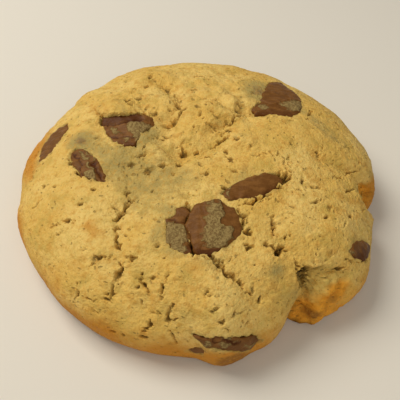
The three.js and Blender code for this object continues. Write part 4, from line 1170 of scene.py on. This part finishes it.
# The smooth rise and fall of the crust over a piece, in the piece's own directions.
def crustOver(piece):
    origin, along, up, out = pieceFrame(piece)
    steps = np.arange(-13, 13.1, 0.65)
    place = np.array([[x, y] for x in steps for y in steps]) + piece["at"]
    skin, ways = crustWithNormals(place)
    none = np.zeros(len(place))
    lift, _ = crustLift(place, skin, none, none, none)
    offset = skin + ways * lift[:, None] - origin
    x, y, rise = offset @ along, offset @ up, offset @ out
    within = outsideOf(np.stack([x, y], axis=1), piece["outline"]) < 0.8
    x, y, rise = x[within], y[within], rise[within]
    return np.linalg.lstsq(curveTerms(x, y), rise, rcond=None)[0]


def buildChocolate(name, values, material, seed):
    outline = softened(values["outline"])
    bpy.ops.mesh.primitive_circle_add(vertices=len(outline), radius=1, fill_type="NGON")
    piece = bpy.context.object
    piece.name = "milk_" + name
    writePoints(piece, np.column_stack([outline, np.full(len(outline), -float(values["thick"]))]))
    bpy.ops.object.mode_set(mode="EDIT")
    bpy.ops.mesh.select_all(action="SELECT")
    bpy.ops.mesh.extrude_region_move(TRANSFORM_OT_translate={"value": (0, 0, values["thick"] + 0.15)})
    bpy.ops.mesh.select_all(action="SELECT")
    bpy.ops.mesh.normals_make_consistent(inside=False)
    bpy.ops.object.mode_set(mode="OBJECT")
    remesh = piece.modifiers.new("voxels", "REMESH")
    remesh.mode = "VOXEL"
    remesh.voxel_size = chocolateValues["voxel"]
    soften = piece.modifiers.new("soften", "SMOOTH")
    soften.factor = 0.5
    soften.iterations = 2
    applyModifiers(piece)
    local = readPoints(piece)
    thick = values["thick"]
    depths, widths = [-thick, -0.7 * thick, -0.3 * thick], [0.62, 0.95, 1]
    local[:, :2] *= np.interp(local[:, 2], depths, widths)[:, None]
    moved = local + seed * 3
    wander = np.stack([kindOfLumps(moved, "edgeAcross"), kindOfLumps(moved, "edgeAlong")], axis=1)
    flat = local[:, :2] + chocolateValues["raggedness"] * wander
    top = smoothStep(-1.2, -0.2, local[:, 2])
    outside = outsideOf(flat, values["outline"])
    coarse = kindOfLumps(local + seed * 5, "chocolateCoarse")
    fine = kindOfLumps(local + seed * 7, "chocolateFine")
    local[:, 2] += top * chocolateValues["topLumps"] * (coarse + 0.4 * fine)
    local[:, 2] -= top * chocolateValues["edgeRound"] * np.exp(np.minimum(outside, 0) / 0.4)
    film = np.zeros(len(local))
    for patch in values["film"]:
        film = np.maximum(film, 1 - smoothStep(-0.5, 0.5, outsideOf(flat, patch) + 0.5 * fine))
    # Painted shade: darker towards the bottom of the sides, in the furrows and in the listed shades.
    paintedShade = smoothStep(-0.5, -1.6, local[:, 2]) * 0.8
    for width, depth, line in values.get("furrows", []):
        away, _ = awayFromLine(flat + 0.2 * fine[:, None], line)
        furrow = top * (1 - smoothStep(0.3, 1.1, 2 * away / width))
        local[:, 2] -= depth * furrow
        paintedShade = np.maximum(paintedShade, furrow)
        film = film * (1 - furrow)
    for shade, patch in values.get("shades", []):
        paintedShade = np.maximum(paintedShade, shade * (1 - smoothStep(-0.4, 0.4, outsideOf(flat, patch) + 0.3 * fine)))
    for step, patch in values.get("steps", []):
        local[:, 2] += top * step * (1 - smoothStep(-0.25, 0.25, outsideOf(flat, patch) + 0.2 * fine))
    local[:, 2] += top * film * (0.12 + 0.12 * fine)
    spread = 1 + chocolateValues["overlap"] / np.maximum(np.linalg.norm(flat, axis=1), 1)
    local[:, :2] = (local[:, :2] - chocolateValues["raggedness"] * wander) * spread[:, None]
    local[:, 2] += curveTerms(local[:, 0], local[:, 1]) @ crustOver(values)
    paint(piece, "film", film * top)
    paint(piece, "paintedShade", paintedShade)
    origin, along, up, out = pieceFrame(values)
    local[:, 2] -= values["sunk"]
    writePoints(piece, origin + local @ np.array([along, up, out]))
    piece.data.polygons.foreach_set("use_smooth", np.ones(len(piece.data.polygons), bool))
    handOver(piece, material, "chocolate", name)
    return piece


floorValues = {"width": 3, "colour": colourOf(228, 223, 211), "roughness": 0.8, "drop": 0.0002}


def paleFloor():
    bpy.ops.mesh.primitive_plane_add(size=floorValues["width"])
    floor = bpy.context.object
    floor.name = "floor"
    recipe = Recipe("pale floor")
    recipe.shader.inputs["Base Color"].default_value = floorValues["colour"]
    recipe.shader.inputs["Roughness"].default_value = floorValues["roughness"]
    floor.data.materials.append(recipe.material)
    floor.location.z = -floorValues["drop"]


lights = {
    "window": {"at": (-0.33, 0.17, 0.54), "size": 0.4, "power": 3.2, "warmth": (1, 0.95, 0.87)},
    "room": {"at": (0.1, -0.5, 0.45), "size": 0.6, "power": 1.3, "warmth": (1, 0.95, 0.88)},
}
roomGlow = {"colour": (1, 0.95, 0.87, 1), "strength": 0.2}


def softLight(name, values):
    bpy.ops.object.light_add(type="AREA", location=values["at"])
    light = bpy.context.object
    light.name = name
    light.data.size = values["size"]
    light.data.energy = values["power"]
    light.data.color = values["warmth"]
    light.rotation_euler = (-Vector(values["at"])).to_track_quat("-Z", "Y").to_euler()


def glowOfRoom():
    world = bpy.data.worlds.new("room light")
    world.use_nodes = True
    background = world.node_tree.nodes["Background"]
    background.inputs[0].default_value = roomGlow["colour"]
    background.inputs[1].default_value = roomGlow["strength"]
    bpy.context.scene.world = world


cameraPlace = {"at": (0.370, -111.54, 116.47), "target": (0.370, -8.722, 10.0), "fieldOfView": 40}


def photoCamera():
    place = Vector(cameraPlace["at"]) * metresPerMillimetre
    target = Vector(cameraPlace["target"]) * metresPerMillimetre
    bpy.ops.object.camera_add(location=place)
    camera = bpy.context.object
    camera.data.angle = np.radians(cameraPlace["fieldOfView"])
    camera.data.clip_start = 0.005
    camera.rotation_euler = (target - place).to_track_quat("-Z", "Y").to_euler()
    bpy.context.scene.camera = camera


bpy.ops.object.select_all(action="DESELECT")
buildDough(bakedDough())
print("dough shaped")
chocolate = milkChocolate()
for order, (name, values) in enumerate(chocolatePieces.items()):
    buildChocolate(name, values, chocolate, order)
print("chocolate placed")
paleFloor()
for name, values in lights.items():
    softLight(name, values)
glowOfRoom()
bpy.context.scene.view_settings.view_transform = "Standard"
photoCamera()
print("light and camera set")
